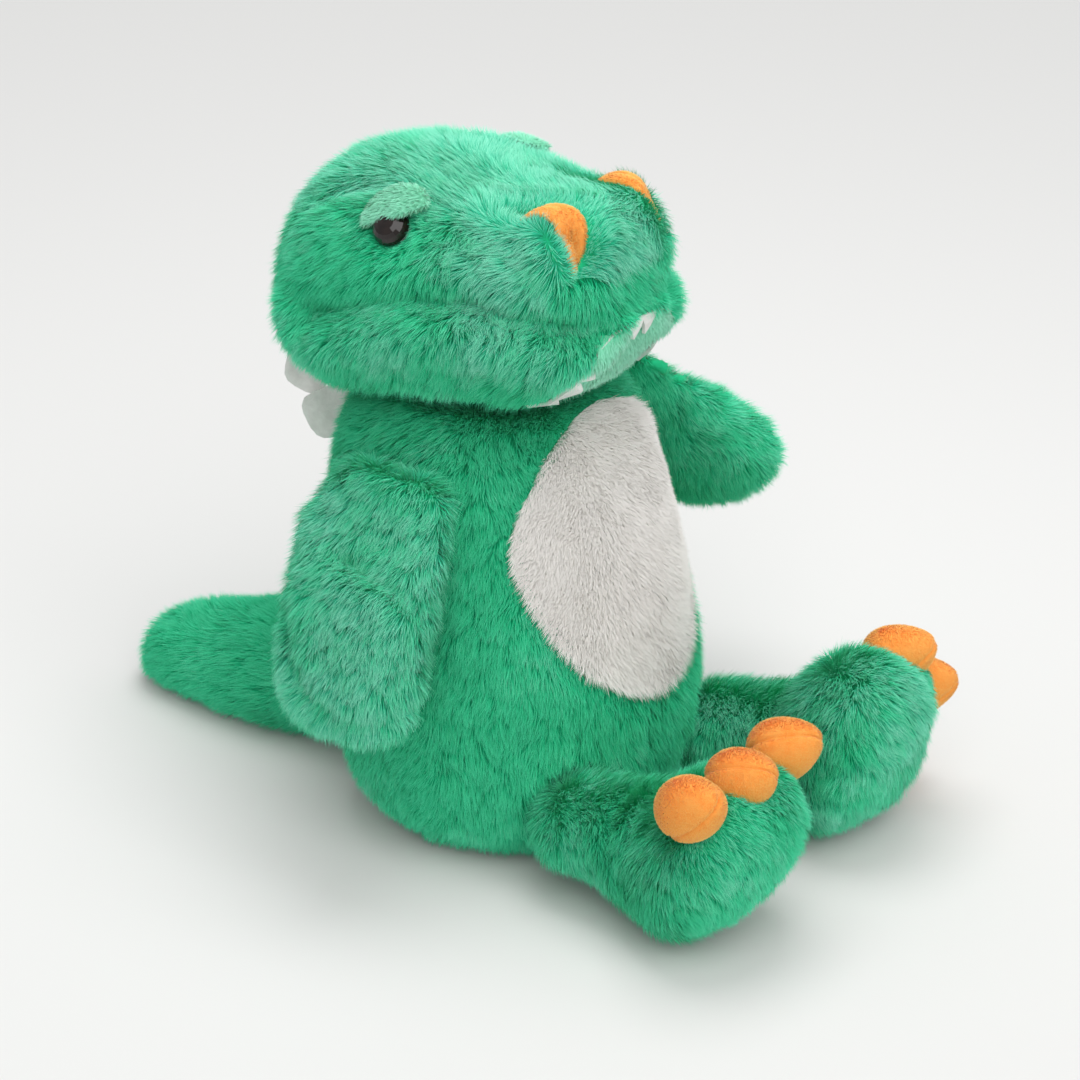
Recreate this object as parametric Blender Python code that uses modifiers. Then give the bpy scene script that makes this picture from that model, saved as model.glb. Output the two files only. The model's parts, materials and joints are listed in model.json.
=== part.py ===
"""Sitting stuffed dinosaur: sewn plush covers, fibre filling, felt trim and safety eyes.

Metres, +Z up. The toy sits on the floor at z = 0 and faces -Y; its own right side is -X.
The origin is the middle of the flat seat.
"""
import math

import bmesh
import bpy
from mathutils import Matrix, Vector
from mathutils.bvhtree import BVHTree

MM = 0.001

# Cloth and fits
PLUSH = 6.0 * MM            # backing and brushed pile together
BACKING = 1.4 * MM          # woven backing left under an eye
GAP = 0.3 * MM              # clearance between two pieces that touch
SOCKET = 0.7 * MM           # clearance of a limb that turns in its socket
FELT = 1.4 * MM
LID_CLOTH = 2.4 * MM

# Body: height above the floor, half width, half depth, and how far the middle leans back
BODY_STATIONS = (
    (0.0, 46.0, 44.0, 0.0),
    (6.0, 60.0, 58.0, 0.0),
    (20.0, 72.0, 70.0, 0.0),
    (45.0, 79.0, 76.0, 0.0),
    (80.0, 79.0, 77.0, 2.0),
    (115.0, 75.0, 75.0, 4.0),
    (145.0, 69.0, 71.0, 6.0),
    (166.0, 64.0, 66.0, 8.0),
    (180.0, 57.0, 59.0, 10.0),
    (190.0, 49.0, 50.0, 12.0),
    (196.0, 42.0, 42.0, 14.0),
)
BODY_SIDES = 24

# Head: place along Y, half width, underside and top
HEAD_STATIONS = (
    (106.0, 19.0, 218.0, 250.0),
    (99.0, 40.0, 199.0, 267.0),
    (83.0, 54.0, 188.0, 281.0),
    (58.0, 62.0, 186.0, 290.0),
    (30.0, 64.0, 187.0, 294.5),
    (4.0, 62.0, 190.0, 293.0),
    (-18.0, 57.0, 194.0, 288.0),
    (-36.0, 51.0, 200.0, 286.5),
    (-49.0, 43.0, 209.0, 285.0),
    (-57.0, 32.0, 221.0, 279.0),
    (-61.5, 17.0, 235.0, 268.0),
)
HEAD_SIDES = 24
HEAD_SQUARENESS = 0.86      # 1 is an ellipse, less is boxier
JOWL_SPREAD = 0.10          # share by which the jowls are wider than the middle

# Starts of the names of the pieces that turn with the head
HEAD_PIECES = ("head_cover", "head_stuffing", "chin", "tooth", "nostril", "eye", "nape")

# Neck: a ball of filling that carries the head, with room round it to turn and nod
NECK_RADIUS = 38.0 * MM
NECK_Y = 14.0 * MM
NECK_LIFT = 5.0 * MM        # ball centre above the neck seam
COLLAR_WIDE = 80.0 * MM     # the head's hollow underside, wide and narrow end
COLLAR_NARROW = 41.0 * MM
COLLAR_LOW = 176.0 * MM
COLLAR_HIGH = 209.0 * MM

# Arms: share of the length from the shoulder, half thickness, half width
ARM_ROOT = (13.0 * MM, 29.0 * MM)
ARM_LENGTH = 106.0 * MM
ARM_STATIONS = (
    (0.236, 13.5, 33.0),
    (0.472, 16.0, 37.0),
    (0.708, 16.5, 38.0),
    (0.868, 14.0, 34.0),
    (0.953, 10.0, 26.0),
    (1.0, 5.0, 14.0),
)
ARM_SIDES = 16
SHOULDER = (75.0 * MM, 7.0 * MM, 172.0 * MM)
ARM_RIGHT_DROOP_DEG = 66.0  # below the horizontal
ARM_RIGHT_FORWARD_DEG = 0.0
ARM_RIGHT_ROLL_DEG = 0.0
ARM_LEFT_DROOP_DEG = 45.0
ARM_LEFT_FORWARD_DEG = 24.0
ARM_LEFT_ROLL_DEG = 42.0

# Legs: share of the length from the hip, half width, underside, top, and how far the top leans forward
LEG_ROOT_RADIUS = 26.0 * MM
HIP = (50.0 * MM, -72.0 * MM, 30.0 * MM)
LEG_LENGTH = 82.0 * MM
LEG_STATIONS = (
    (0.22, 25.0, 2.0, 58.0, 0.0),
    (0.415, 27.0, 2.0, 64.0, 2.0),
    (0.573, 32.5, 1.5, 75.0, 5.0),
    (0.695, 38.0, 1.0, 83.0, 9.0),
    (0.793, 41.0, 1.5, 86.0, 11.0),
    (0.89, 40.0, 4.5, 84.0, 12.0),
    (0.963, 34.0, 11.5, 78.0, 11.0),
    (1.0, 22.0, 24.0, 67.0, 8.0),
)
LEG_SIDES = 16
LEG_SQUARENESS = 0.84       # 1 is an ellipse, less is boxier
SOLE_SEAM = 0.805 * LEG_LENGTH  # from the hip to the seam round the sole
LEG_RIGHT_OUT_DEG = 0.0
LEG_LEFT_OUT_DEG = 8.0

# Claws, three in a row over the toes
CLAW_LENGTH = 33.0 * MM
CLAW_WIDTH = 27.0 * MM
CLAW_HEIGHT = 26.0 * MM
CLAW_SPACING = 30.0 * MM
CLAW_TAPER = 0.22           # share by which the tip is narrower than the middle
CLAW_RISE = 34.5 * MM       # above the middle of the foot
CLAW_AHEAD = 0.896 * LEG_LENGTH  # from the hip
CLAW_TUCK_RIGHT = 3.0 * MM  # how far the outer claw is set back
CLAW_TUCK_LEFT = 16.0 * MM
FOOT_MIDDLE = 44.0 * MM     # height of the middle of the foot
CLAW_SAG_RIGHT = 0.0 * MM   # how far the row of claws sits below that middle
CLAW_SAG_LEFT = 5.0 * MM
CLAW_LIFT_DEG = 30.0
CLAW_FAN_DEG = 14.0
ROLL_RIGHT_DEG = 0.0        # how far the foot is rolled outward
ROLL_LEFT_DEG = 66.0

# Tail: share of the length from its root, half width, height
TAIL_ROOT_RADIUS = 33.0 * MM
TAIL_ROOT = (0.0, 88.0 * MM, 33.6 * MM)
TAIL_SWING_DEG = 5.0        # to the toy's right
TAIL_LENGTH = 116.0 * MM
TAIL_STATIONS = (
    (0.172, 31.0, 63.0),
    (0.414, 28.0, 56.0),
    (0.655, 24.0, 48.0),
    (0.845, 20.0, 40.0),
    (0.948, 14.0, 30.0),
    (1.0, 7.0, 18.0),
)
TAIL_SIDES = 16

# Belly panel, an oval seen from the front
BELLY_HALF_WIDTH = 57.0 * MM
BELLY_BOTTOM = 60.0 * MM
BELLY_TOP = 188.6 * MM
BELLY_FROM = -120.0 * MM    # the panel's outline runs back to here through the front wall
BELLY_TO = -20.0 * MM

# Mouth: an arched lip seen from the front
LIP_HALF_WIDTH = 30.4 * MM
LIP_BASE = 196.4 * MM
LIP_RISE = 42.3 * MM
LIP_SQUARENESS = 0.55       # 1 is an ellipse, less is boxier
LIP_FROM = -120.0 * MM      # the mouth's outline starts ahead of the snout
LIP_BACK = -22.6 * MM       # and reaches back to here
TOOTH_COUNT = 12
TOOTH_DROP = 7.5 * MM
TOOTH_BAND = 1.6 * MM       # felt above the notches

# Nostrils, half moons seen from above
NOSTRIL_X = 31.5 * MM
NOSTRIL_Y = -38.0 * MM
NOSTRIL_LENGTH = 25.0 * MM
NOSTRIL_REACH = 12.0 * MM
NOSTRIL_TOE_DEG = 6.0       # the front ends lean together
NOSTRIL_LOW = 256.0 * MM    # the patch ends above this height

# Eyes and lids
EYE_Y = 28.3 * MM
EYE_Z = 274.4 * MM
EYE_DIAMETER = 16.0 * MM
EYE_DOME = 6.2 * MM
SHANK_DIAMETER = 5.0 * MM
SHANK_LENGTH = 10.0 * MM
WASHER_DIAMETER = 14.0 * MM
WASHER_THICK = 1.6 * MM
WASHER_BACK = 2.2 * MM      # behind the cloth, which curves away from it
LID_Y = 32.5 * MM           # middle of the lid's lower edge
LID_Z = 278.6 * MM
LID_LENGTH = 33.0 * MM
LID_HEIGHT = 9.0 * MM
LID_RISE_DEG = 27.0         # the lid climbs toward the snout

# Felt plates on the back seam: height of the root, width, reach, droop, sideways flop
NAPE_PLATE = (212.0 * MM, 24.0 * MM, 38.0 * MM, 70.0, 18.0)
BACK_PLATE = (170.0 * MM, 26.0 * MM, 36.0 * MM, 26.0, 20.0)
PLATE_CORNER = 7.0 * MM
PLATE_TAPER = 0.82          # tip width as a share of the root
PLATE_ROOT = 12.0 * MM      # felt drawn in toward the seam before it is trimmed

# Colours as seen in daylight: red, green, blue, roughness
GREEN_PLUSH = (0.045, 0.42, 0.20, 0.9)
PALE_GREEN = (0.13, 0.50, 0.30, 0.9)
WHITE_PLUSH = (0.74, 0.72, 0.69, 0.9)
WHITE_FELT = (0.66, 0.67, 0.64, 0.9)
ORANGE_PLUSH = (1.0, 0.28, 0.05, 0.85)
EYE_BROWN = (0.012, 0.008, 0.008, 0.12)
FIBRE_WHITE = (0.80, 0.80, 0.78, 1.0)
NYLON_WHITE = (0.78, 0.78, 0.76, 0.4)


def clear_scene():
    for old in list(bpy.data.objects):
        bpy.data.objects.remove(old, do_unlink=True)


def collection(name):
    made = bpy.data.collections.new(name)
    bpy.context.scene.collection.children.link(made)
    return made


def material(name, look):
    made = bpy.data.materials.new(name)
    made.use_nodes = True
    shader = made.node_tree.nodes["Principled BSDF"]
    shader.inputs["Base Color"].default_value = (look[0], look[1], look[2], 1.0)
    shader.inputs["Roughness"].default_value = look[3]
    shader.inputs["Metallic"].default_value = 0.0
    return made


class Bench:
    """Holds the two collections and the materials while the toy is put together."""

    def __init__(self):
        self.parts = collection("stuffed_dinosaur")
        self.cutters = collection("cutters")
        self.looks = {}

    def add(self, name, bm, look=None, place=None):
        """Makes an object from bm. With no look it is a cutter."""
        mesh = bpy.data.meshes.new(name)
        bm.to_mesh(mesh)
        bm.free()
        made = bpy.data.objects.new(name, mesh)
        if look is None:
            self.cutters.objects.link(made)
            made.hide_render = True
            made.display_type = "WIRE"
        else:
            self.parts.objects.link(made)
            mesh.materials.append(material(name, look))
            for face in mesh.polygons:
                face.use_smooth = True
        if place is not None:
            made.matrix_basis = place
        return made

    def pivot(self, name, place):
        made = bpy.data.objects.new(name, None)
        self.parts.objects.link(made)
        made.empty_display_size = 0.02
        made.matrix_basis = place
        return made


def hang(piece, carrier):
    """Lets a piece move with the one that carries it, from where it is now."""
    piece.parent = carrier
    piece.matrix_parent_inverse = carrier.matrix_basis.inverted()


def cut(target, cutter, operation="DIFFERENCE"):
    boolean = target.modifiers.new(operation.lower() + "_" + cutter.name, "BOOLEAN")
    boolean.operation = operation
    boolean.solver = "EXACT"
    boolean.object = cutter


def loft(rings, open_start=False):
    """Skins rings of equal count, closing each end with one flat face unless the first stays open."""
    bm = bmesh.new()
    loops = [[bm.verts.new(point) for point in ring] for ring in rings]
    count = len(loops[0])
    for low, high in zip(loops, loops[1:]):
        for i in range(count):
            j = (i + 1) % count
            bm.faces.new((low[i], low[j], high[j], high[i]))
    mouth = bm.faces.new(list(reversed(loops[0])))
    bm.faces.new(loops[-1])
    bmesh.ops.recalc_face_normals(bm, faces=bm.faces[:])
    if open_start:
        bmesh.ops.delete(bm, geom=[mouth], context="FACES_ONLY")
    return bm


def swell(bm, distance):
    """Moves every point along its own normal, inward when the distance is negative."""
    bm.normal_update()
    moves = [(v, v.normal.copy()) for v in bm.verts]
    for v, normal in moves:
        v.co += normal * distance
    return bm


def turns(count):
    return [2.0 * math.pi * i / count for i in range(count)]


def body_rings():
    rings = []
    for z, half_width, half_depth, lean in BODY_STATIONS:
        rings.append([
            Vector((half_width * math.cos(t), lean + half_depth * math.sin(t), z)) * MM
            for t in turns(BODY_SIDES)
        ])
    return rings


def rounded(value, squareness):
    """A sine or cosine bent from an ellipse toward a box."""
    return math.copysign(abs(value) ** squareness, value)


def head_rings():
    rings = []
    for y, half_width, low, high in HEAD_STATIONS:
        middle = (low + high) / 2.0
        rise = (high - low) / 2.0
        ring = []
        for t in turns(HEAD_SIDES):
            side = 1.0 - JOWL_SPREAD * math.sin(t)
            across = half_width * side * rounded(math.cos(t), HEAD_SQUARENESS)
            up = middle + rise * rounded(math.sin(t), HEAD_SQUARENESS)
            ring.append(Vector((across, y, up)) * MM)
        rings.append(ring)
    return rings


def root_rings(across, along, count, place):
    """Rings of the rounded root end, from a small mouth to its middle. place maps (a, b, s) to a point."""
    rings = []
    for turn in (-66.0, -42.0, -20.0, 0.0):
        s = math.sin(math.radians(turn))
        f = math.cos(math.radians(turn))
        rings.append([place(across * f * math.cos(t), along * f * math.sin(t), across * s)
                      for t in turns(count)])
    return rings


def arm_rings():
    """An arm that hangs from its shoulder along -Z, flat across X and wide along Y."""
    thick, wide = ARM_ROOT
    rings = root_rings(thick, wide, ARM_SIDES, lambda a, b, s: Vector((a, b, -s)))
    for share, half_thick, half_wide in ARM_STATIONS:
        rings.append([
            Vector((half_thick * MM * math.cos(t), half_wide * MM * math.sin(t), -share * ARM_LENGTH))
            for t in turns(ARM_SIDES)
        ])
    return rings


def leg_rings():
    """A leg that runs forward along -Y from its hip, which lies at the origin."""
    radius = LEG_ROOT_RADIUS
    rings = root_rings(radius, radius, LEG_SIDES, lambda a, b, s: Vector((a, -s, b)))
    for share, half_wide, low, high, lean in LEG_STATIONS:
        middle = (low + high) / 2.0 * MM - HIP[2]
        rise = (high - low) / 2.0 * MM
        ring = []
        for t in turns(LEG_SIDES):
            across = half_wide * MM * rounded(math.cos(t), LEG_SQUARENESS)
            up = rounded(math.sin(t), LEG_SQUARENESS)
            ring.append(Vector((across, -share * LEG_LENGTH - lean * MM * up, middle + rise * up)))
        rings.append(ring)
    return rings


def tail_rings():
    """A tail that lies on the floor and runs back along +Y from its root at the origin."""
    radius = TAIL_ROOT_RADIUS
    rings = root_rings(radius, radius, TAIL_SIDES, lambda a, b, s: Vector((a, s, b)))
    for share, half_wide, height in TAIL_STATIONS:
        rise = height / 2.0 * MM
        middle = rise + GAP - TAIL_ROOT[2]
        rings.append([
            Vector((half_wide * MM * math.cos(t), share * TAIL_LENGTH, middle + rise * math.sin(t)))
            for t in turns(TAIL_SIDES)
        ])
    return rings


def ball(radius_x, radius_y, radius_z, sides=24):
    bm = bmesh.new()
    bmesh.ops.create_uvsphere(bm, u_segments=sides, v_segments=sides // 2, radius=1.0,
                              matrix=Matrix.Diagonal((radius_x, radius_y, radius_z, 1.0)))
    return bm


def prism(outline, depth_from, depth_to, place):
    """Extrudes an outline of (a, b) points. place maps (a, b, d) to a point."""
    return loft([[place(a, b, d) for a, b in outline] for d in (depth_from, depth_to)])


def box(low, high):
    middle = (Vector(low) + Vector(high)) / 2.0
    size = Vector(high) - Vector(low)
    bm = bmesh.new()
    bmesh.ops.create_cube(bm, size=1.0, matrix=Matrix.Translation(middle) @ Matrix.Diagonal((*size, 1.0)))
    return bm


def rod(radius, start, end, sides=16):
    """A cylinder along local Z from start to end."""
    bm = bmesh.new()
    bmesh.ops.create_cone(bm, cap_ends=True, segments=sides, radius1=radius, radius2=radius,
                          depth=end - start, matrix=Matrix.Translation((0.0, 0.0, (start + end) / 2.0)))
    return bm


def clothe(piece):
    """Gives an open form the thickness of the plush, inward."""
    wall = piece.modifiers.new("cloth", "SOLIDIFY")
    wall.thickness = PLUSH
    wall.offset = -1.0
    wall.use_rim = True


def sewn_bag(bench, name, rings, place):
    """A cover open at its root and the filling inside it."""
    cover = bench.add(name + "_cover", loft(rings, open_start=True), GREEN_PLUSH, place)
    clothe(cover)
    filling = swell(loft(rings, open_start=True), -PLUSH - 2.0 * GAP)
    bmesh.ops.holes_fill(filling, edges=[e for e in filling.edges if e.is_boundary], sides=0)
    stuffing = bench.add(name + "_stuffing", filling, FIBRE_WHITE, place)
    return cover, stuffing


def arm_place(sign, droop_deg, forward_deg, roll_deg):
    """Puts an arm at its shoulder, drooping below the level by droop_deg and swung forward."""
    return (Matrix.Translation((sign * SHOULDER[0], SHOULDER[1], SHOULDER[2]))
            @ Matrix.Rotation(math.radians(-sign * forward_deg), 4, "Z")
            @ Matrix.Rotation(math.radians(sign * (droop_deg - 90.0)), 4, "Y")
            @ Matrix.Rotation(math.radians(sign * roll_deg), 4, "Z"))


def leg_place(sign, out_deg):
    return (Matrix.Translation((sign * HIP[0], HIP[1], HIP[2]))
            @ Matrix.Rotation(math.radians(sign * out_deg), 4, "Z"))


def facing(normal, up=Vector((0.0, 0.0, 1.0))):
    """A rotation whose Z axis is the normal."""
    x = up.cross(normal).normalized()
    y = normal.cross(x).normalized()
    return Matrix((x, y, normal)).transposed().to_4x4()


def raise_top(bm, height):
    """Brings the topmost ring of a form up to a height."""
    top = max(v.co.z for v in bm.verts)
    for v in bm.verts:
        if v.co.z > top - GAP:
            v.co.z = height
    return bm


def build_body(bench, seam, sockets):
    """The body cover, its hollow and its filling, with a socket for each limb that is sewn on.

    A limb that lies against the body also leaves its own dent there.
    """
    cover = bench.add("body_cover", loft(body_rings()), GREEN_PLUSH)
    hollow = bench.add("body_hollow", raise_top(swell(loft(body_rings()), -PLUSH), seam + PLUSH))
    filling = raise_top(swell(loft(body_rings()), -PLUSH - GAP), seam)
    stuffing = bench.add("body_stuffing", filling, FIBRE_WHITE)
    for name, radii, place, rings in sockets:
        for piece, extra in ((cover, SOCKET), (hollow, SOCKET + PLUSH), (stuffing, SOCKET + PLUSH + GAP)):
            socket = ball(*(radius + extra for radius in radii))
            cut(piece, bench.add(name + "_socket_" + piece.name, socket, None, place))
            if rings:
                dent = swell(loft(rings), extra)
                cut(piece, bench.add(name + "_dent_" + piece.name, dent, None, place))
    cut(cover, hollow)
    return cover, hollow


def build_belly(bench, cover, hollow):
    middle = (BELLY_TOP + BELLY_BOTTOM) / 2.0
    rise = (BELLY_TOP - BELLY_BOTTOM) / 2.0

    def oval(extra):
        outline = [((BELLY_HALF_WIDTH + extra) * math.cos(t), middle + (rise + extra) * math.sin(t))
                   for t in turns(32)]
        return prism(outline, BELLY_FROM, BELLY_TO, lambda a, b, d: Vector((a, d, b)))

    panel = bench.add("belly_panel", loft(body_rings()), WHITE_PLUSH)
    cut(panel, hollow)
    cut(panel, bench.add("belly_outline", oval(0.0)), "INTERSECT")
    cut(cover, bench.add("belly_opening", oval(GAP)))


def build_neck(bench, seam):
    middle = Vector((0.0, NECK_Y, seam + NECK_LIFT))
    place = Matrix.Translation(middle)
    neck = bench.add("neck_stuffing", ball(NECK_RADIUS, NECK_RADIUS, NECK_RADIUS), FIBRE_WHITE, place)
    wide = 2.0 * NECK_RADIUS
    floor = box((-wide, -wide, GAP - NECK_LIFT - wide), (wide, wide, GAP - NECK_LIFT))
    cut(neck, bench.add("neck_seat", floor, None, place))
    return place


def head_shell(low, high):
    """A layer of the head between two distances from its outer face, as one closed skin in another."""
    return swell(loft(head_rings()), high), swell(loft(head_rings()), low)


def build_head(bench, neck):
    cover = bench.add("head_cover", loft(head_rings()), GREEN_PLUSH)
    hollow = bench.add("head_hollow", swell(loft(head_rings()), -PLUSH))
    stuffing = bench.add("head_stuffing", swell(loft(head_rings()), -PLUSH - GAP), FIBRE_WHITE)
    radius = NECK_RADIUS + SOCKET
    socket = bench.add("neck_socket", ball(radius, radius, radius), None, neck)
    collar = bmesh.new()
    bmesh.ops.create_cone(collar, cap_ends=True, segments=32, radius1=COLLAR_WIDE, radius2=COLLAR_NARROW,
                          depth=COLLAR_HIGH - COLLAR_LOW,
                          matrix=Matrix.Translation((0.0, NECK_Y, (COLLAR_LOW + COLLAR_HIGH) / 2.0)))
    collar = bench.add("neck_collar", collar)
    cut(cover, hollow)
    for piece in (cover, stuffing):
        cut(piece, socket)
        cut(piece, collar)
    return cover, hollow, stuffing


def lip_arch(inset, count):
    """Evenly spaced points of the lip seen from the front, from the toy's right to its left."""
    fine = []
    for i in range(401):
        t = math.pi * (1.0 - i / 400.0)
        fine.append(Vector(((LIP_HALF_WIDTH - inset) * rounded(math.cos(t), LIP_SQUARENESS),
                            LIP_BASE + (LIP_RISE - inset) * abs(math.sin(t)) ** LIP_SQUARENESS)))
    run = [0.0]
    for a, b in zip(fine, fine[1:]):
        run.append(run[-1] + (b - a).length)
    points = []
    for k in range(count + 1):
        near = min(range(len(run)), key=lambda i: abs(run[i] - run[-1] * k / count))
        points.append(tuple(fine[near]))
    return points


def build_mouth(bench, cover, hollow):
    """The chin panel inside the arched lip and the felt teeth that hang from the lip over it."""
    def forward(a, b, d):
        return Vector((a, d, b))

    def arch(inset):
        outline = lip_arch(inset, 16)
        drop = LIP_BASE - 2.0 * LIP_RISE
        return prism([(outline[0][0], drop)] + outline + [(outline[-1][0], drop)], LIP_FROM, LIP_BACK, forward)

    chin = bench.add("chin_panel", loft(head_rings()), PALE_GREEN)
    cut(chin, hollow)
    for name in ("neck_socket", "neck_collar"):
        cut(chin, bpy.data.objects[name])
    cut(chin, bench.add("chin_outline", arch(GAP)), "INTERSECT")
    cut(cover, bench.add("chin_opening", arch(0.0)))

    notches = lip_arch(TOOTH_BAND, 2 * TOOTH_COUNT)
    tips = lip_arch(TOOTH_BAND + TOOTH_DROP, 2 * TOOTH_COUNT)
    zigzag = [tips[i] if i % 2 else notches[i] for i in range(2 * TOOTH_COUNT + 1)]
    strip = lip_arch(0.0, 2 * TOOTH_COUNT) + zigzag[::-1]
    outer, inner = head_shell(GAP, GAP + FELT)
    teeth = bench.add("tooth_strip", outer, WHITE_FELT)
    cut(teeth, bench.add("tooth_backing", inner))
    cut(teeth, bench.add("tooth_outline", prism(strip, LIP_FROM, LIP_BACK, forward)), "INTERSECT")
    for name in ("neck_socket", "neck_collar"):
        cut(teeth, bpy.data.objects[name])


def build_nostril(bench, side, sign, cover, hollow):
    toe = math.radians(NOSTRIL_TOE_DEG)

    def half_moon(extra):
        outline = []
        for turn in range(90, -91, -15):
            t = math.radians(turn)
            inward = (NOSTRIL_REACH + 2.0 * extra) * math.cos(t) - extra
            along = (NOSTRIL_LENGTH / 2.0 + extra) * math.sin(t)
            outline.append((sign * (NOSTRIL_X - inward * math.cos(toe) + along * math.sin(toe)),
                            NOSTRIL_Y + inward * math.sin(toe) + along * math.cos(toe)))
        return prism(outline, NOSTRIL_LOW, NOSTRIL_LOW * 2.0, lambda a, b, d: Vector((a, b, d)))

    patch = bench.add("nostril_" + side, loft(head_rings()), ORANGE_PLUSH)
    cut(patch, hollow)
    cut(patch, bench.add("nostril_outline_" + side, half_moon(0.0)), "INTERSECT")
    cut(cover, bench.add("nostril_opening_" + side, half_moon(GAP)))


def eye_rings():
    """The dome, its flat back and its shank, about local Z with the back at z = 0."""
    radius = EYE_DIAMETER / 2.0
    shank = SHANK_DIAMETER / 2.0
    profile = [(radius * math.cos(math.radians(turn)), EYE_DOME * math.sin(math.radians(turn)))
               for turn in range(80, -1, -16)]
    profile += [(shank, 0.0), (shank, -SHANK_LENGTH)]
    return [[Vector((r * math.cos(t), r * math.sin(t), z)) for t in turns(20)] for r, z in profile]


def build_eye(bench, side, sign, cover, stuffing):
    """A plastic eye set into the pile, with its shank through the cloth and a washer behind."""
    skin = loft(head_rings())
    tree = BVHTree.FromBMesh(skin)
    skin.free()
    start = Vector((sign * 1.0, EYE_Y, EYE_Z))
    spot, normal, _, _ = tree.ray_cast(start, Vector((-sign, 0.0, 0.0)))
    sunk = PLUSH - BACKING
    place = Matrix.Translation(spot - normal * sunk) @ facing(normal)
    radius = EYE_DIAMETER / 2.0
    shank = SHANK_DIAMETER / 2.0
    washer_radius = WASHER_DIAMETER / 2.0
    bench.add("eye_" + side, loft(eye_rings()), EYE_BROWN, place @ Matrix.Translation((0.0, 0.0, GAP)))
    cut(cover, bench.add("eye_pocket_" + side, rod(radius + GAP, 0.0, EYE_DIAMETER, 20), None, place))
    cut(cover, bench.add("shank_hole_" + side, rod(shank + GAP, -EYE_DIAMETER, EYE_DIAMETER), None, place))
    far = -BACKING - WASHER_BACK
    near = far - WASHER_THICK
    washer = bench.add("eye_washer_" + side, rod(washer_radius, near, far), NYLON_WHITE, place)
    cut(washer, bench.add("washer_bore_" + side, rod(shank + GAP, near - GAP, far + GAP), None, place))
    cut(stuffing, bench.add("washer_room_" + side, rod(washer_radius + GAP, near - GAP, EYE_DIAMETER),
                            None, place))
    cut(stuffing, bench.add("shank_room_" + side, rod(shank + GAP, -SHANK_LENGTH - GAP, EYE_DIAMETER),
                            None, place))

    rise = math.radians(LID_RISE_DEG)

    def lid_place(a, b, d):
        y = LID_Y - a * math.cos(rise) + b * math.sin(rise)
        return Vector((sign * d, y, LID_Z + a * math.sin(rise) + b * math.cos(rise)))

    half_turn = [math.radians(turn) for turn in range(0, 181, 15)]
    outline = [(LID_LENGTH / 2.0 * math.cos(t), LID_HEIGHT * math.sin(t)) for t in half_turn]
    outer, inner = head_shell(GAP, GAP + LID_CLOTH)
    lid = bench.add("eyelid_" + side, outer, PALE_GREEN)
    cut(lid, bench.add("eyelid_backing_" + side, inner))
    cut(lid, bench.add("eyelid_outline_" + side, prism(outline, 0.0, 1.0, lid_place)), "INTERSECT")
    dome = ball(radius + GAP, radius + GAP, EYE_DOME + 2.0 * GAP, 20)
    cut(lid, bench.add("eyelid_relief_" + side, dome, None, place))


def build_foot(bench, side, place, roll_deg, tuck, sag):
    """The leg, its sole panel and the three claws over the toes."""
    name = "leg_" + side
    cover, _ = sewn_bag(bench, name, leg_rings(), place)
    reach = 4.0 * SOLE_SEAM
    sole = bench.add("sole_" + side, loft(leg_rings(), open_start=True), GREEN_PLUSH, place)
    clothe(sole)
    ahead = box((-reach, -reach, -reach), (reach, -SOLE_SEAM - GAP / 2.0, reach))
    behind = box((-reach, -reach, -reach), (reach, -SOLE_SEAM + GAP / 2.0, reach))
    cut(sole, bench.add("sole_side_" + side, ahead, None, place), "INTERSECT")
    cut(cover, bench.add("leg_side_" + side, behind, None, place))
    foot = bench.add("foot_form_" + side, swell(loft(leg_rings()), GAP), None, place)
    outward = -1.0 if side == "right" else 1.0
    roll = Matrix.Rotation(math.radians(outward * roll_deg), 4, "Y")
    middle = Matrix.Translation((0.0, -CLAW_AHEAD, FOOT_MIDDLE - sag - HIP[2]))
    for label, step in (("inner", -1.0), ("middle", 0.0), ("outer", 1.0)):
        back = tuck if label == "outer" else 0.0
        spot = Matrix.Translation((outward * step * CLAW_SPACING, back, CLAW_RISE))
        aim = (Matrix.Rotation(math.radians(outward * step * CLAW_FAN_DEG), 4, "Z")
               @ Matrix.Rotation(math.radians(-CLAW_LIFT_DEG), 4, "X"))
        egg = ball(CLAW_WIDTH / 2.0, CLAW_LENGTH / 2.0, CLAW_HEIGHT / 2.0, 14)
        for v in egg.verts:
            slim = 1.0 + CLAW_TAPER * v.co.y / (CLAW_LENGTH / 2.0)
            v.co.x *= slim
            v.co.z *= slim
        at = place @ middle @ roll @ spot @ aim
        claw = bench.add("claw_" + side + "_" + label, egg, ORANGE_PLUSH, at)
        cut(claw, foot)
        hang(claw, cover)


def tab_outline(width, reach):
    """A felt tab with rounded corners, rooted below b = 0."""
    tip = width * PLATE_TAPER / 2.0
    outline = [(-width / 2.0, -PLATE_ROOT), (width / 2.0, -PLATE_ROOT), (width / 2.0, 0.0)]
    for turn in range(0, 91, 30):
        t = math.radians(turn)
        outline.append((tip - PLATE_CORNER + PLATE_CORNER * math.cos(t),
                        reach - PLATE_CORNER + PLATE_CORNER * math.sin(t)))
    for turn in range(90, 181, 30):
        t = math.radians(turn)
        outline.append((PLATE_CORNER - tip + PLATE_CORNER * math.cos(t),
                        reach - PLATE_CORNER + PLATE_CORNER * math.sin(t)))
    outline.append((-width / 2.0, 0.0))
    return outline


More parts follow.
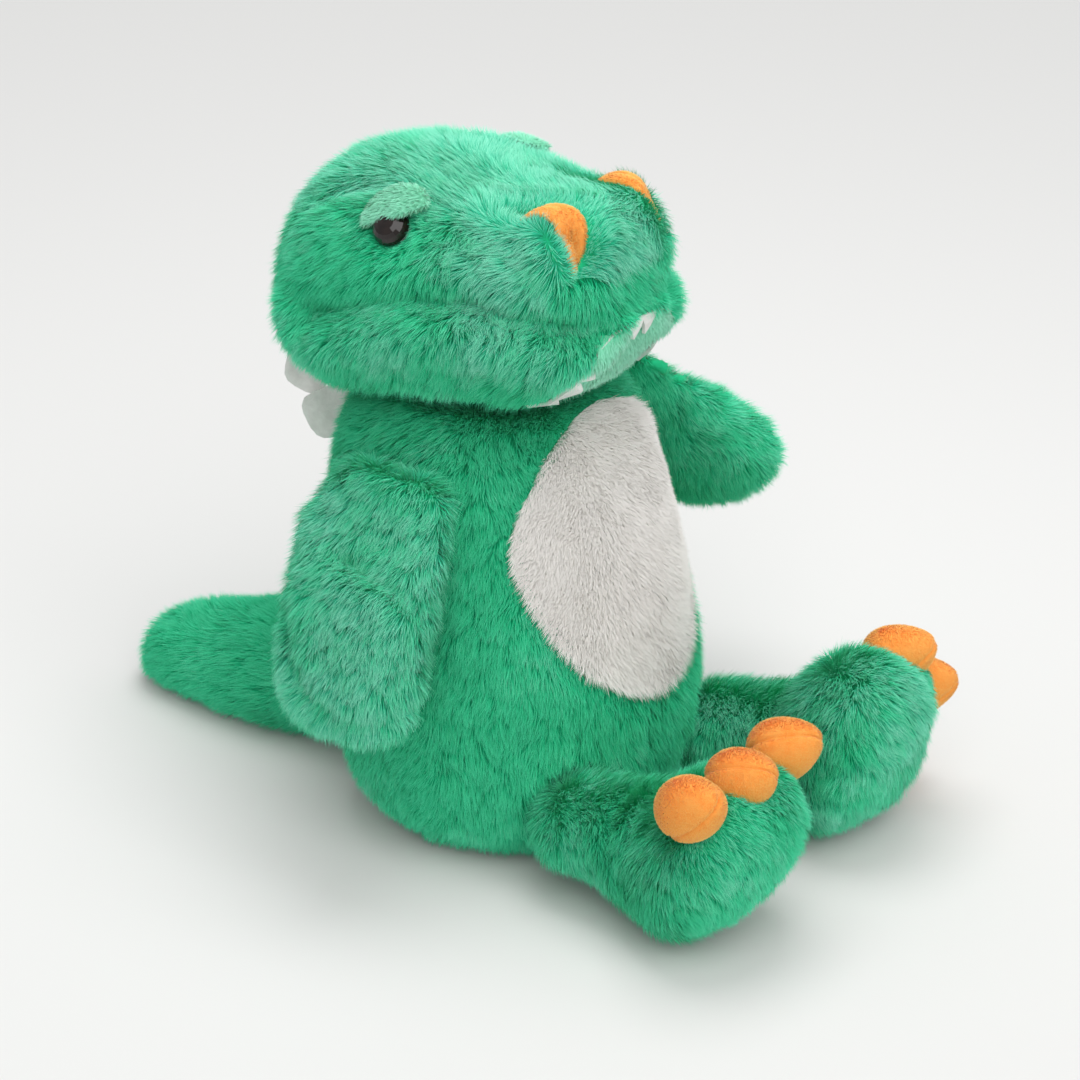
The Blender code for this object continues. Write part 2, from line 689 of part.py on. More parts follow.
def build_plate(bench, name, sizes, rings, form):
    """A felt plate sewn into the back seam of the form whose rings are given."""
    height, width, reach, droop, flop = sizes
    skin = loft(rings)
    tree = BVHTree.FromBMesh(skin)
    skin.free()
    spot, _, _, _ = tree.ray_cast(Vector((0.0, 1.0, height)), Vector((0.0, -1.0, 0.0)))
    place = (Matrix.Translation(spot) @ Matrix.Rotation(math.radians(flop), 4, "Z")
             @ Matrix.Rotation(math.radians(-droop), 4, "X"))
    felt = prism(tab_outline(width, reach), -FELT / 2.0, FELT / 2.0, lambda a, b, d: Vector((d, b, a)))
    cut(bench.add(name, felt, WHITE_FELT, place), form)


def main():
    clear_scene()
    bench = Bench()
    arm_right = arm_place(-1.0, ARM_RIGHT_DROOP_DEG, ARM_RIGHT_FORWARD_DEG, ARM_RIGHT_ROLL_DEG)
    arm_left = arm_place(1.0, ARM_LEFT_DROOP_DEG, ARM_LEFT_FORWARD_DEG, ARM_LEFT_ROLL_DEG)
    leg_right = leg_place(-1.0, LEG_RIGHT_OUT_DEG)
    leg_left = leg_place(1.0, LEG_LEFT_OUT_DEG)
    tail = Matrix.Translation(TAIL_ROOT) @ Matrix.Rotation(math.radians(TAIL_SWING_DEG), 4, "Z")
    arm_radii = (ARM_ROOT[0], ARM_ROOT[1], ARM_ROOT[0])
    seam = BODY_STATIONS[-1][0] * MM
    body, hollow = build_body(bench, seam, (
        ("shoulder_right", arm_radii, arm_right, arm_rings()),
        ("shoulder_left", arm_radii, arm_left, arm_rings()),
        ("hip_right", (LEG_ROOT_RADIUS,) * 3, leg_right, None),
        ("hip_left", (LEG_ROOT_RADIUS,) * 3, leg_left, None),
        ("tail", (TAIL_ROOT_RADIUS,) * 3, tail, None),
    ))
    build_belly(bench, body, hollow)
    sewn_bag(bench, "arm_right", arm_rings(), arm_right)
    sewn_bag(bench, "arm_left", arm_rings(), arm_left)
    build_foot(bench, "right", leg_right, ROLL_RIGHT_DEG, CLAW_TUCK_RIGHT, CLAW_SAG_RIGHT)
    build_foot(bench, "left", leg_left, ROLL_LEFT_DEG, CLAW_TUCK_LEFT, CLAW_SAG_LEFT)
    sewn_bag(bench, "tail", tail_rings(), tail)
    neck = build_neck(bench, seam)
    head, head_hollow, head_stuffing = build_head(bench, neck)
    build_mouth(bench, head, head_hollow)
    for side, sign in (("right", -1.0), ("left", 1.0)):
        build_nostril(bench, side, sign, head, head_hollow)
        build_eye(bench, side, sign, head, head_stuffing)
    head_form = bench.add("head_form", swell(loft(head_rings()), GAP))
    body_form = bench.add("body_form", swell(loft(body_rings()), GAP))
    build_plate(bench, "nape_plate", NAPE_PLATE, head_rings(), head_form)
    build_plate(bench, "back_plate", BACK_PLATE, body_rings(), body_form)
    head_pivot = bench.pivot("head_pivot", neck)
    for piece in bench.parts.objects:
        if piece.name.startswith(HEAD_PIECES):
            hang(piece, head_pivot)


main()
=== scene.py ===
"""Looks of a sitting stuffed dinosaur.

Sewn plush bags, their pile, felt, claws, eyes, floor, light and camera. The toy faces -Y, its own right side
is -X, and it sits on z = 0. Lengths are in metres.
"""
import json
import math

import bmesh
import bpy
import numpy as np
from mathutils import Matrix, Vector
from mathutils.bvhtree import BVHTree


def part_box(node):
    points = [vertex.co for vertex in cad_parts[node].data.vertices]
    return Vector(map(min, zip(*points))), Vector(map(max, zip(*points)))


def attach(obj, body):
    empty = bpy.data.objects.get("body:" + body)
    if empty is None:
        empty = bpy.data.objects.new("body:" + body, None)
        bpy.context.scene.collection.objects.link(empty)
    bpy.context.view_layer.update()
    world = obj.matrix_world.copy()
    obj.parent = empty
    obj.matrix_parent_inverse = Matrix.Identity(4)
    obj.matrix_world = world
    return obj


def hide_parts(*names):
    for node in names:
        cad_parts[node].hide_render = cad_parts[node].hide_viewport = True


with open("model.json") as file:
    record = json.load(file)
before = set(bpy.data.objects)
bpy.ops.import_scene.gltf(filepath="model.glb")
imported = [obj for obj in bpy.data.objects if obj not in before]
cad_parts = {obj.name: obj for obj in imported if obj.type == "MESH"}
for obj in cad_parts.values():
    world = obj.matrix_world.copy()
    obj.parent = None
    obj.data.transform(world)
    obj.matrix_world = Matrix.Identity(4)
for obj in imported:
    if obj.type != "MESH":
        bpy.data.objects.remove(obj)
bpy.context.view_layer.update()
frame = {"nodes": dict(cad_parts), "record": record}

NODES = frame["nodes"]
JOINT_AT = {j["name"]: np.array(j["pos_m"]) for j in frame["record"]["behaviour"]["joints"]}
MM = 0.001
SIDES = {"right": -1, "left": 1}
CLAWS = ("inner", "middle", "outer")

# Cloth and its filling
BAG_VOXEL = 3.0 * MM
BAG_ROUNDS = 24
LID_VOXEL = 0.9 * MM
LID_ROUNDS = 4
RELAX_STEPS = (0.5, -0.52)
RELAX_ROUNDS = 2
CLOTH_THICK = 1.2 * MM
FILL_ROOM = 2.0 * MM
FILL_TENSION = 0.3
FILL_STIFFNESS = 0.3
FILL_BENDING = 0.05
FILL_DAMPING = 0.5
FILL_MASS = 0.01
FILL_QUALITY = 2
FILL_STEPS = 12
FILL_CAP = 4.0 * MM
SEAM_HOLD = 3.5 * MM
SEAT_HOLD = 8.0 * MM
BODY_HOLDS = {"head_nod": 56 * MM, "tail_wag": 42 * MM, "shoulder_right": 36 * MM, "shoulder_left": 36 * MM,
              "hip_right": 38 * MM, "hip_left": 38 * MM}
HEAD_HOLD = 52 * MM
ARM_HOLD = 34 * MM
LEG_HOLD = 36 * MM
TAIL_HOLD = 40 * MM

# Piles: strands per square mm, length, lift off the skin, width, and locks as (size in mm, pull)
PILES = {
    "long": (3.8, 9.5 * MM, 0.62, 0.27 * MM, ((3.0, 0.5), (9.0, 0.25))),
    "belly": (6.5, 5.0 * MM, 0.7, 0.24 * MM, ((2.0, 0.1),)),
    "chin": (3.2, 5 * MM, 0.5, 0.36 * MM, ((2.0, 0.2),)),
    "nostril": (8.0, 1.2 * MM, 0.7, 0.2 * MM, ((1.6, 0.1),)),
    "eyelid": (6.0, 2.6 * MM, 0.5, 0.24 * MM, ((2.2, 0.2),)),
    "claw": (8.0, 1.1 * MM, 0.65, 0.2 * MM, ((1.6, 0.1),)),
}
STRANDS_PER_PIECE = 64000
FLOOR_CLEAR = 0.5 * MM
FLOOR_TRIM = 12 * MM
FLOOR_SHARE = 0.25
LEAST_SHARE = 0.12

# Pile near another skin: how far off it is full and its share on that skin; deeper roots are left out
NEAR_CLAWS = (11 * MM, 0.3)
NEAR_BODY = (4 * MM, 0.6)
DEEPEST_ROOT = -1.5 * MM

# Strands: how they stray, as (amount, size, step of the seed), bend, vary and gather
STRAY = ((0.5, 24 * MM, 0), (0.45, 8 * MM, 5))
LENGTH_DRIFT = (0.12, 12 * MM, 3)
TONE_DRIFT = (0.2, 26 * MM, 7)
LOCK_SEEDS = (11, 20)
TUFT_SEED = 9
CUBE = [np.array((c & 1, c >> 1 & 1, c >> 2 & 1)) for c in range(8)]
LOCK_TONE = 0.22
TONE_JITTER = 0.09
TONE_ENDS = (0.04, 0.96)
STRAND_JITTER = 0.09
STRAND_BEND = 0.6
STRAND_DROOP = 0.12
STRAND_SHORTEST = 0.74
STRAND_SPREAD = 0.4
MIDDLE_PULL = 0.35
TIP_PULL = 0.65

# Blades: turn about their length, narrowing, spread of width, and how they are lit
BLADE_TURN = 1.0
BLADE_NARROW = 0.8
BLADE_THINNEST = 0.75
BLADE_SPREAD = 0.5
BLADE_SKIN = 0.85
BLADE_OWN = 0.3

# One blade: five corners in a quad and a triangle, and the place of each face corner on its map
BLADE_CORNERS = 5
BLADE_FACES = np.array((0, 1, 3, 2, 2, 3, 4))
BLADE_STARTS = np.array((0, 4))
BLADE_ACROSS = np.array((-0.02, 0.02, 0.02, -0.02, -0.02, 0.02, 0.0))
BLADE_ALONG = np.array((0.02, 0.02, 0.5, 0.5, 0.5, 0.5, 0.98))

# Belly; its white pile starts inside the panel's seam and hangs out to it, over the green
BELLY_X = 3.5 * MM
BELLY_HALF_WIDTH = 54 * MM
BELLY_LOW = 76 * MM
BELLY_MIDDLE = 140 * MM
BELLY_HIGH = 189 * MM
BELLY_CLOTH_LAP = 2 * MM
BELLY_RISE = 0.4 * MM
BELLY_NAP_OUT = 1.6
BELLY_NAP_DOWN = -0.6
GREEN_LAP = 1 * MM
GREEN_SHORT = 0.16
GREEN_FADE = 9 * MM
WHITE_LAP = 0.5 * MM
WHITE_FRINGE = 0.6
WHITE_FADE = 6 * MM

# Lip and chin
LIP_HALF_WIDTH = 30.4 * MM
LIP_BASE = 196.4 * MM
LIP_RISE = 42.3 * MM
LIP_POWER = 2 / 0.55
LIP_BACK = -22.6 * MM
LIP_CLEAR = 14 * MM
LIP_SHORT = 0.5
CHIN_RISE = 1.5 * MM
NECK_ROOM = 2 * MM

# Nostrils: half-round patches with their straight edges outward; rays along AIM lay them on the snout
NOSTRIL_EDGE = 27.2 * MM
NOSTRIL_Y = -39 * MM
NOSTRIL_HALF_LENGTH = 18.5 * MM
NOSTRIL_REACH = 9.6 * MM
NOSTRIL_TOE = math.radians(-7)
NOSTRIL_CLEAR = 8 * MM
NOSTRIL_TOP = 282 * MM
NOSTRIL_LOW = 262 * MM
NOSTRIL_AIM = Vector((0, 0.42, -0.91)).normalized()
NOSTRIL_START = 0.1
NOSTRIL_STEEP = 1.2
NOSTRIL_SHORT = 0.25
NOSTRIL_COMB = 7 * MM
NOSTRIL_COMB_UP = 0.5
NOSTRIL_RINGS = 9
NOSTRIL_SPOKES = 28
NOSTRIL_LAP = 0.12
NOSTRIL_FOLD = 0.38
NOSTRIL_FOLD_WIDE = 0.13
NOSTRIL_FOLD_DEEP = 0.9 * MM
NOSTRIL_RISE = 3.0 * MM
NOSTRIL_CROWN = 6
NOSTRIL_THICK = 1.4 * MM

# Eyes, and eyelids that are moved and resized from the CAD's
EYE_RADIUS = 8 * MM
EYE_SHORT = 0.2
EYE_FADE = 9 * MM
LID_SHIFT = np.array((1.2, -4.0, -2.0)) * MM
LID_LENGTH = 0.75
LID_HEIGHT = 1.15
LID_ALONG = np.array((-0.664, -0.640, 0.382))
LID_UP = np.array((-0.515, 0.764, 0.385))

# Teeth, drawn in and tucked under the lip
TOOTH_DRAW = np.array((0.97, 1.0, 1.0))
TOOTH_TUCK = np.array((0.0, 1.0 * MM, 0.8 * MM))

# Claws: the CAD's size and place, with more taper, a drawn-in seam and each a roll of its own
CLAW_SIZE = (12.6 * MM, 16 * MM, 12.4 * MM)
CLAW_TAPER = 0.26
CLAW_SEAM = 0.09
CLAW_SEAM_WIDTH = 0.08
CLAW_SEGMENTS = (72, 40)
# Groove along each claw's seam: pile cut short there, and darker as painted shade
GROOVE_WIDTH = 0.8 * MM
GROOVE_CUT = 0.8
GROOVE_SHADE = 0.6
CLAW_TONE = 0.15
CLAW_SPACING = 30 * MM
CLAW_RISE = 34.5 * MM
CLAW_AHEAD = 73.5 * MM
CLAW_ROW = {"right": 14 * MM, "left": 9 * MM}
CLAW_TUCK = {"right": 3 * MM, "left": 16 * MM}
CLAW_LIFT = math.radians(30)
CLAW_FAN = math.radians(14)
CLAW_ROLL = {"right": np.radians((-42, -42, 48)), "left": np.radians((0, 0, 0))}
FOOT_ROLL = {"right": 0.0, "left": math.radians(66)}
LEG_OUT = {"right": 0.0, "left": math.radians(8)}

# Felt: how finely its faces are cut, how uneven it is, and its flat sizes as cut
FELT_WELD = 0.01 * MM
FELT_FACE = 1.6 * MM
FELT_GRAIN = 5 * MM
FELT_ROUGH = 0.3 * MM
NAPE_FLAT = (0.024, 0.038)
BACK_FLAT = (0.026, 0.036)

# Camera and light
VIEW_TARGET = Vector((0.044, 0.021, 0.099))
VIEW_DISTANCE = 1.6
VIEW_ROUND = math.radians(54)
VIEW_UP = math.radians(26)
VIEW_LENS = 122
VIEW_SENSOR = 36
FLOOR_SIZE = 6.0
WORLD_LEVEL = 0.47
KEY_POWER = 1.8
KEY_SPREAD = math.radians(60)
KEY_PLACE = Vector((-0.9, -1.3, 1.75))
TOP_POWER = 4.2
TOP_SIZE = 0.7
TOP_PLACE = Vector((0.05, 0.0, 1.05))

# Colours from dark to light; the TONE ones multiply a pile's own colour from strand to strand
GREENS = ((0.008, 0.36, 0.15, 1), (0.014, 0.56, 0.25, 1), (0.12, 0.86, 0.50, 1))
PALES = ((0.16, 0.60, 0.38, 1), (0.26, 0.77, 0.52, 1), (0.40, 0.88, 0.67, 1))
WHITES = ((0.93, 0.91, 0.87, 1), (0.96, 0.94, 0.90, 1), (0.97, 0.95, 0.92, 1))
ORANGES = ((0.98, 0.33, 0.05, 1), (1.0, 0.49, 0.11, 1), (1.0, 0.62, 0.20, 1))
FELTS = ((0.66, 0.67, 0.64, 1), (0.84, 0.85, 0.82, 1))
EYES = ((0.006, 0.004, 0.004, 1), (0.02, 0.012, 0.01, 1))
NYLONS = ((0.70, 0.70, 0.68, 1), (0.78, 0.78, 0.76, 1))
FLOOR = (0.79, 0.79, 0.78, 1)
# The dark end of green and pale strand tone: random tone, and the painted shade in folds and seams
TONE_LOW = (0.76, 0.82, 0.80, 1)
TONE_PALE = (0.94, 0.94, 0.94, 1)
# The dark end of orange strand tone: random mottle, and the painted shade in the claws' seam grooves
TONE_MOTTLE_AND_GROOVE_SHADE = (0.84, 0.62, 0.48, 1)
TONE_EVEN = (1.0, 1.0, 1.0, 1)
# The light end of green strand tone: paler strands, and a whitish painted sheen where painted light lifts the
# tone
TONE_PALE_AND_PAINTED_SHEEN = (3.2, 1.04, 1.4, 1)
SHEEN_GREEN = (0.18, 1.0, 0.6, 1)

# Cloths: name, slot, colours, grain per metre, depth of the grain, and sheen
CLOTHS = {
    "green_cloth": ("green backing", "green_plush", GREENS, 900.0, 0.4 * MM, 0.3),
    "pale_cloth": ("pale backing", "pale_green_plush", PALES, 900.0, 0.4 * MM, 0.4),
    "white_cloth": ("white backing", "white_plush", WHITES, 900.0, 0.4 * MM, 0.3),
    "orange_cloth": ("orange velvet", "orange_plush", ORANGES, 1400.0, 0.35 * MM, 0.5),
    "felt": ("white felt", "white_felt", FELTS, 1100.0, 0.3 * MM, 0.3),
}

# Plastics: name, slot, colours, and the range of the roughness
PLASTICS = {
    "eye": ("eye plastic", "eye_plastic", EYES, 0.05, 0.12),
    "nylon": ("washer nylon", "washer_nylon", NYLONS, 0.4, 0.55),
}

# Looks of the piles: name, slot, colours of root, middle and tip, range of tone, sheen and its tint
PILE_LOOKS = {
    "green_pile": ("green pile", "green_plush", GREENS, TONE_LOW, TONE_PALE_AND_PAINTED_SHEEN, 0.8, SHEEN_GREEN),
    "pale_pile": ("pale pile", "pale_green_plush", PALES, TONE_LOW, TONE_EVEN, 0.6),
    "white_pile": ("white pile", "white_plush", WHITES, TONE_PALE, TONE_EVEN, 0.0),
    "orange_pile": ("orange pile", "orange_plush", ORANGES, TONE_MOTTLE_AND_GROOVE_SHADE, TONE_EVEN, 0.3),
}


def mm_line(*spots):
    return np.array(spots, float) * MM


def mirrored(line):
    return line * np.array((-1, 1, 1))


# Room left for the pile when a skin is set back from the CAD form, and spots that are stuffed fuller or less,
# as (x, y, z, reach, push) in millimetres
ROOM = {"body": 2.0 * MM, "head": 6.0 * MM, "tail": 4.2 * MM, "arm_right": 2.6 * MM, "arm_left": 5.2 * MM,
        "leg_right": 3.6 * MM, "leg_left": 3.6 * MM}
MORE_FILL = {
    "body": ((-24, 66, 168, 38, 5.0), (-30, -70, 20, 30, 2.0), (-60, 40, 25, 30, 2.0),
             (-42, -8, 178, 24, 3.0), (42, -8, 178, 24, 3.0)),
    "head": [(sign * x, y, z, reach, push) for sign in (-1, 1) for x, y, z, reach, push in (
        (26, -42, 283, 18, 13), (20, 6, 291, 22, -5.5), (14, 72, 284, 26, 1.5), (49, 28, 272, 13, 4),
        (24, -58, 256, 18, -2.0), (50, -14, 264, 22, 4), (58, 48, 262, 24, 2),
        (50, 20, 203, 28, 5), (35, -35, 213, 20, 4), (42, 66, 204, 28, 6), (8, -44, 214, 22, 2.5))],
    "arm_right": ((-88, 40, 156, 22, 6.5), (-100, 42, 132, 22, 5.0)),
    "arm_left": ((85, -15, 178, 26, -3.0), (84, -34, 142, 22, -4.5), (138, -36, 151, 24, 4.5)),
    "leg_right": ((-40, -152, 44, 26, 5.5), (-62, -150, 46, 24, 3.0), (-68, -80, 4, 22, -8.0),
                  (-85, -148, 4, 22, -5.0)),
    "leg_left": ((80, -146, 44, 26, 1.0), (56, -152, 46, 24, 3.0), (46, -127, 80, 22, 10.5),
                 (78, -140, 16, 24, 6.0), (72, -138, 78, 18, 3.5)),
    "tail": ((-24, 118, 14, 22, 5.0), (-26, 150, 12, 22, 5.5), (-24, 182, 10, 20, 3.0)),
}

# How far the claws are moved to sit on the fuller soles, and the felt tabs to hang on the pile
CLAW_SHIFT = {"right": mm_line((1.5, -1.5, 0), (0, -1.5, 0), (0, -1, 0)),
              "left": mm_line((-1, 0, -2), (4, -3, 4), (0, 0, 0))}
TAB_SHIFT = {"nape_plate": (0.0, -2 * MM, -12 * MM), "back_plate": (0.0, 2 * MM, 0.0)}

# Seams and folds of the skins, on the toy's right side unless named left
GUSSET = mm_line((-41, 67, 273), (-37, 53, 281), (-37, 35, 287), (-36, 20, 288),
                 (-33, 7, 287), (-30, -5, 286), (-28, -20, 285))
SNOUT_SEAM = mm_line((-27, -46, 277), (-29.8, -53.4, 268), (-29.5, -57, 259), (-27, -58.5, 249),
                     (-24, -59, 240))
JAW = mm_line((-60.5, 61, 231), (-63.5, 35.5, 240), (-63, 26, 244), (-60.5, 8.7, 249), (-57.5, -6.3, 251),
              (-53, -22.5, 250.5), (-51.9, -29.7, 248), (-45.6, -44.6, 246), (-27, -58.4, 242))
ARM_RIGHT_SEAM = mm_line((-95, 38, 150), (-108, 33, 128), (-117.3, 26.8, 110.6), (-123.4, 12.4, 98.5),
                         (-124.5, -0.3, 93.9), (-122.5, -12.5, 92.9), (-118, -21.6, 94.7))
ARM_RIGHT_FOLD = mm_line((-99.6, 12.4, 150), (-101, -3, 146.7), (-99, -17.6, 143), (-99.8, -24.9, 133.5))
ARM_LEFT_SEAM = mm_line((78, -14, 161), (88.4, -23.8, 156), (99.6, -33.6, 151), (109.8, -40.6, 145),
                        (117.8, -44.5, 136), (126.4, -48, 130))
FOOT_RIGHT_SEAM = mm_line((-54, -94.4, 59), (-67, -92.6, 53), (-73, -95, 45.5), (-76, -101, 36),
                          (-79, -112, 32))
FOOT_LEFT_SEAM = mm_line((32.4, -155.6, 75), (24.2, -148, 66), (20.7, -141.5, 53), (20, -136, 36))
TAIL_SEAM = mm_line((-8.7, 130, 56.6), (-16.7, 146, 50), (-20, 166, 42.4), (-17.4, 192.6, 31.2))
LIMB_SEAMS = {"arm_right": (ARM_RIGHT_SEAM, ARM_RIGHT_FOLD), "arm_left": (ARM_LEFT_SEAM,),
              "leg_right": (FOOT_RIGHT_SEAM,), "leg_left": (FOOT_LEFT_SEAM,), "tail": (TAIL_SEAM,)}

# How seams draw the skin in: depth, width, height of the rolls beside it and of one more below it
HEAD_CREASES = ((GUSSET, (7.0 * MM, 5.0 * MM, 1.5 * MM)), (SNOUT_SEAM, (5.0 * MM, 5 * MM, 1.5 * MM)),
                (JAW, (13.0 * MM, 6.5 * MM, 1.0 * MM, 5.0 * MM)))
LIMB_CREASE = (3.0 * MM, 4.0 * MM, 1.0 * MM)
ROLL_AWAY = 2.2
UNDER_AWAY = 2.4
UNDER_WIDE = 1.3

# Pile of the head: shorter in its folds and darker there as painted shade, as (line, depth, width), and
# lighter at some spots as painted light
HEAD_FOLDS = ((JAW, 1.0, 5 * MM), (GUSSET, 1.0, 3.5 * MM), (SNOUT_SEAM, 0.7, 4 * MM))
FOLD_CUT = 0.6
# Painted shade in the head's folds
FOLD_SHADE = 0.65
# Painted light on the brow and the muzzle, as (amount, spot, reach)
PAINTED_LIGHT_SPOTS = ((0.3, np.array((-37, 33, 283)) * MM, 16 * MM), (0.6, np.array((-48, -20, 268)) * MM, 24 * MM))
# Painted light on the top of the head: how much, how far from the middle it reaches, its fade and its lowest
# height
CROWN_LIGHT = 0.5
CROWN_EDGE = 38 * MM
CROWN_FADE = 8 * MM
CROWN_LOW = 262 * MM
# Painted light on the roll below the jaw's fold: how much, how far below the fold, and how wide
JOWL_LIGHT = 0.25
JOWL_AWAY = 16 * MM
JOWL_WIDE = 9 * MM
HEAD_NAP = (0.3, 0.4, -1.0)
HEAD_HALF_WIDTH = 0.06

# Pile of the body and limbs
# Painted light and shade: the pile of each part made lighter or darker as a whole, the body's darker
BODY_PAINTED_SHADE = -0.1
LIMB_PAINTED_LIGHT_AND_SHADE = {"arm_right": 0.35, "arm_left": 0.0, "leg_right": 0.05, "leg_left": 0.22, "tail": -0.15}
# Seams of the limbs: pile cut short there and darker as painted shade
LIMB_FOLD = 4 * MM
LIMB_CUT = 0.5
LIMB_SHADE = 0.35
ARM_DROOP = np.array((0, 0, -0.3))


def node_of(mat, kind, **inputs):
    """A shader node with some of its inputs set."""
    made = mat.node_tree.nodes.new(kind)
    for name, value in inputs.items():
        made.inputs[name.replace("_", " ")].default_value = value
    return made


def ramp(mat, source, stops):
    """A colour ramp driven by one output."""
    made = node_of(mat, "ShaderNodeValToRGB")
    points = made.color_ramp.elements
    while len(points) < len(stops):
        points.new(0.5)
    for point, (place, colour) in zip(points, stops):
        point.position = place
        point.color = colour
    mat.node_tree.links.new(source, made.inputs["Fac"])
    return made.outputs["Color"]


def new_material(name, roughness, sheen, specular, tint=TONE_EVEN):
    """A fabric or plastic surface with its shader."""
    mat = bpy.data.materials.new(name)
    mat.use_nodes = True
    shader = mat.node_tree.nodes["Principled BSDF"]
    shader.inputs["Roughness"].default_value = roughness
    shader.inputs["Specular IOR Level"].default_value = specular
    shader.inputs["Sheen Weight"].default_value = sheen
    shader.inputs["Sheen Roughness"].default_value = 0.4
    shader.inputs["Sheen Tint"].default_value = tint
    return mat, shader


def clouds(mat, scale, detail, roughness=0.5):
    """Noise over the object's own space."""
    made = node_of(mat, "ShaderNodeTexNoise", Scale=scale, Detail=detail, Roughness=roughness)
    place = node_of(mat, "ShaderNodeTexCoord").outputs["Object"]
    mat.node_tree.links.new(place, made.inputs["Vector"])
    return made.outputs["Fac"]


def pile_material(name, colours, low, high, sheen, tint=TONE_EVEN):
    """Strands that lighten from root to tip, each with its own tone, read from the strand's map."""
    root, middle, tip = colours
    mat, shader = new_material(name, roughness=0.5, sheen=sheen, specular=0.0, tint=tint)
    links = mat.node_tree.links
    place = node_of(mat, "ShaderNodeUVMap")
    place.uv_map = "OFBake"
    split = node_of(mat, "ShaderNodeSeparateXYZ")
    links.new(place.outputs["UV"], split.inputs["Vector"])
    along = ramp(mat, split.outputs["Y"], [(0.0, root), (0.45, middle), (1.0, tip)])
    tone = ramp(mat, split.outputs["X"], [(0.0, low), (0.5, TONE_EVEN), (1.0, high)])
    mix = node_of(mat, "ShaderNodeMix", Factor=1.0)
    mix.data_type = "RGBA"
    mix.blend_type = "MULTIPLY"
    links.new(along, mix.inputs["A"])
    links.new(tone, mix.inputs["B"])
    links.new(mix.outputs["Result"], shader.inputs["Base Color"])
    return mat


def cloth_material(name, colours, grain, depth, sheen):
    """Woven backing, felt or velvet: mottled colour and a fine raised grain."""
    mat, shader = new_material(name, roughness=0.85, sheen=sheen, specular=0.2)
    links = mat.node_tree.links
    mottle = clouds(mat, scale=grain * 0.12, detail=4.0, roughness=0.6)
    links.new(ramp(mat, mottle, [(0.3, colours[0]), (0.68, colours[1])]), shader.inputs["Base Color"])
    bump = node_of(mat, "ShaderNodeBump", Strength=0.6, Distance=depth)
    links.new(clouds(mat, scale=grain, detail=3.0, roughness=0.7), bump.inputs["Height"])
    links.new(bump.outputs["Normal"], shader.inputs["Normal"])
    return mat


def plastic_material(name, colours, low, high):
    """Moulded plastic: nearly even colour and slightly uneven polish."""
    mat, shader = new_material(name, roughness=low, sheen=0.0, specular=0.5)
    links = mat.node_tree.links
    cloud = clouds(mat, scale=180.0, detail=2.0)
    links.new(ramp(mat, cloud, [(0.35, colours[0]), (0.7, colours[1])]), shader.inputs["Base Color"])
    polish = node_of(mat, "ShaderNodeMapRange", To_Min=low, To_Max=high)
    links.new(cloud, polish.inputs["Value"])
    links.new(polish.outputs["Result"], shader.inputs["Roughness"])
    return mat


def lattice(at, seed):
    """A repeatable number from 0 to 1 for each lattice point, from a hash with usual large factors."""
    ix, iy, iz = at.T
    n = ix * 374761393 + iy * 668265263 + iz * 2147483647 + seed * 974634777
    n = (n ^ (n >> 13)) * 1274126177
    n = n ^ (n >> 16)
    return (n & 0xFFFF) / 65535.0


def noise(points, size, seed):
    """Smooth noise from -1 to 1 with features of one size."""
    q = points / size
    cell = np.floor(q).astype(np.int64)
    f = q - cell
    f = f * f * (3 - 2 * f)
    total = np.zeros(len(points))
    for off in CUBE:
        weight = np.prod(np.where(off == 1, f, 1 - f), axis=1)
        total += weight * lattice(cell + off, seed)
    return total * 2 - 1


def noise_vector(points, size, seed):
    return np.stack([noise(points, size, seed + k) for k in range(3)], axis=1)


def tuft_of(points, size, seed):
    """The way to each point's nearest tuft centre, and that tuft's own number from 0 to 1."""
    q = points / size
    base = np.floor(q - 0.5).astype(np.int64)
    best = np.full(len(points), 1e9)
    way = np.zeros_like(points)
    number = np.zeros(len(points))
    for off in CUBE:
        at = base + off
        spot = np.stack([lattice(at, seed + k) for k in range(3)], axis=1)
        gap = at + spot - q
        far = np.einsum("ij,ij->i", gap, gap)
        near = far < best
        best[near] = far[near]
        way[near] = gap[near]
        number[near] = lattice(at[near], seed + TUFT_SEED)
    return way * size, number


def unit(v):
    return v / np.maximum(np.linalg.norm(v, axis=1), 1e-9)[:, None]


def line_offset(points, line):
    """Distance of each point from a run of straight lines, and how far it lies below them."""
    best = np.full(len(points), 9.0)
    drop = np.zeros(len(points))
    for a, b in zip(line[:-1], line[1:]):
        d = b - a
        t = np.clip(((points - a) @ d) / (d @ d), 0, 1)
        gap = points - a - t[:, None] * d
        far = np.linalg.norm(gap, axis=1)
        near = far < best
        best[near] = far[near]
        drop[near] = -gap[near, 2]
    return best, drop


def line_distance(points, line):
    return line_offset(points, line)[0]


def spot_distance(points, spot):
    return np.linalg.norm(points - spot, axis=1)


def near_spot(points, spot, reach):
    """1 on a spot, falling smoothly to 0 beyond its reach."""
    return np.exp(-(spot_distance(points, spot) / reach) ** 2)


def near_line(points, line, reach):
    """1 on a line, falling smoothly to 0 beyond its reach."""
    return np.exp(-(line_distance(points, line) / reach) ** 2)


def both_sides(points):
    """The points folded onto the toy's right side."""
    return np.stack([-np.abs(points[:, 0]), points[:, 1], points[:, 2]], axis=1)


def linked(name, data):
    """An object in the scene for a mesh, a light or a camera."""
    obj = bpy.data.objects.new(name, data)
    bpy.context.scene.collection.objects.link(obj)
    return obj


def mesh_of(bm, name):
    """The mesh of a finished bmesh."""
    mesh = bpy.data.meshes.new(name)
    bm.to_mesh(mesh)
    bm.free()
    return mesh


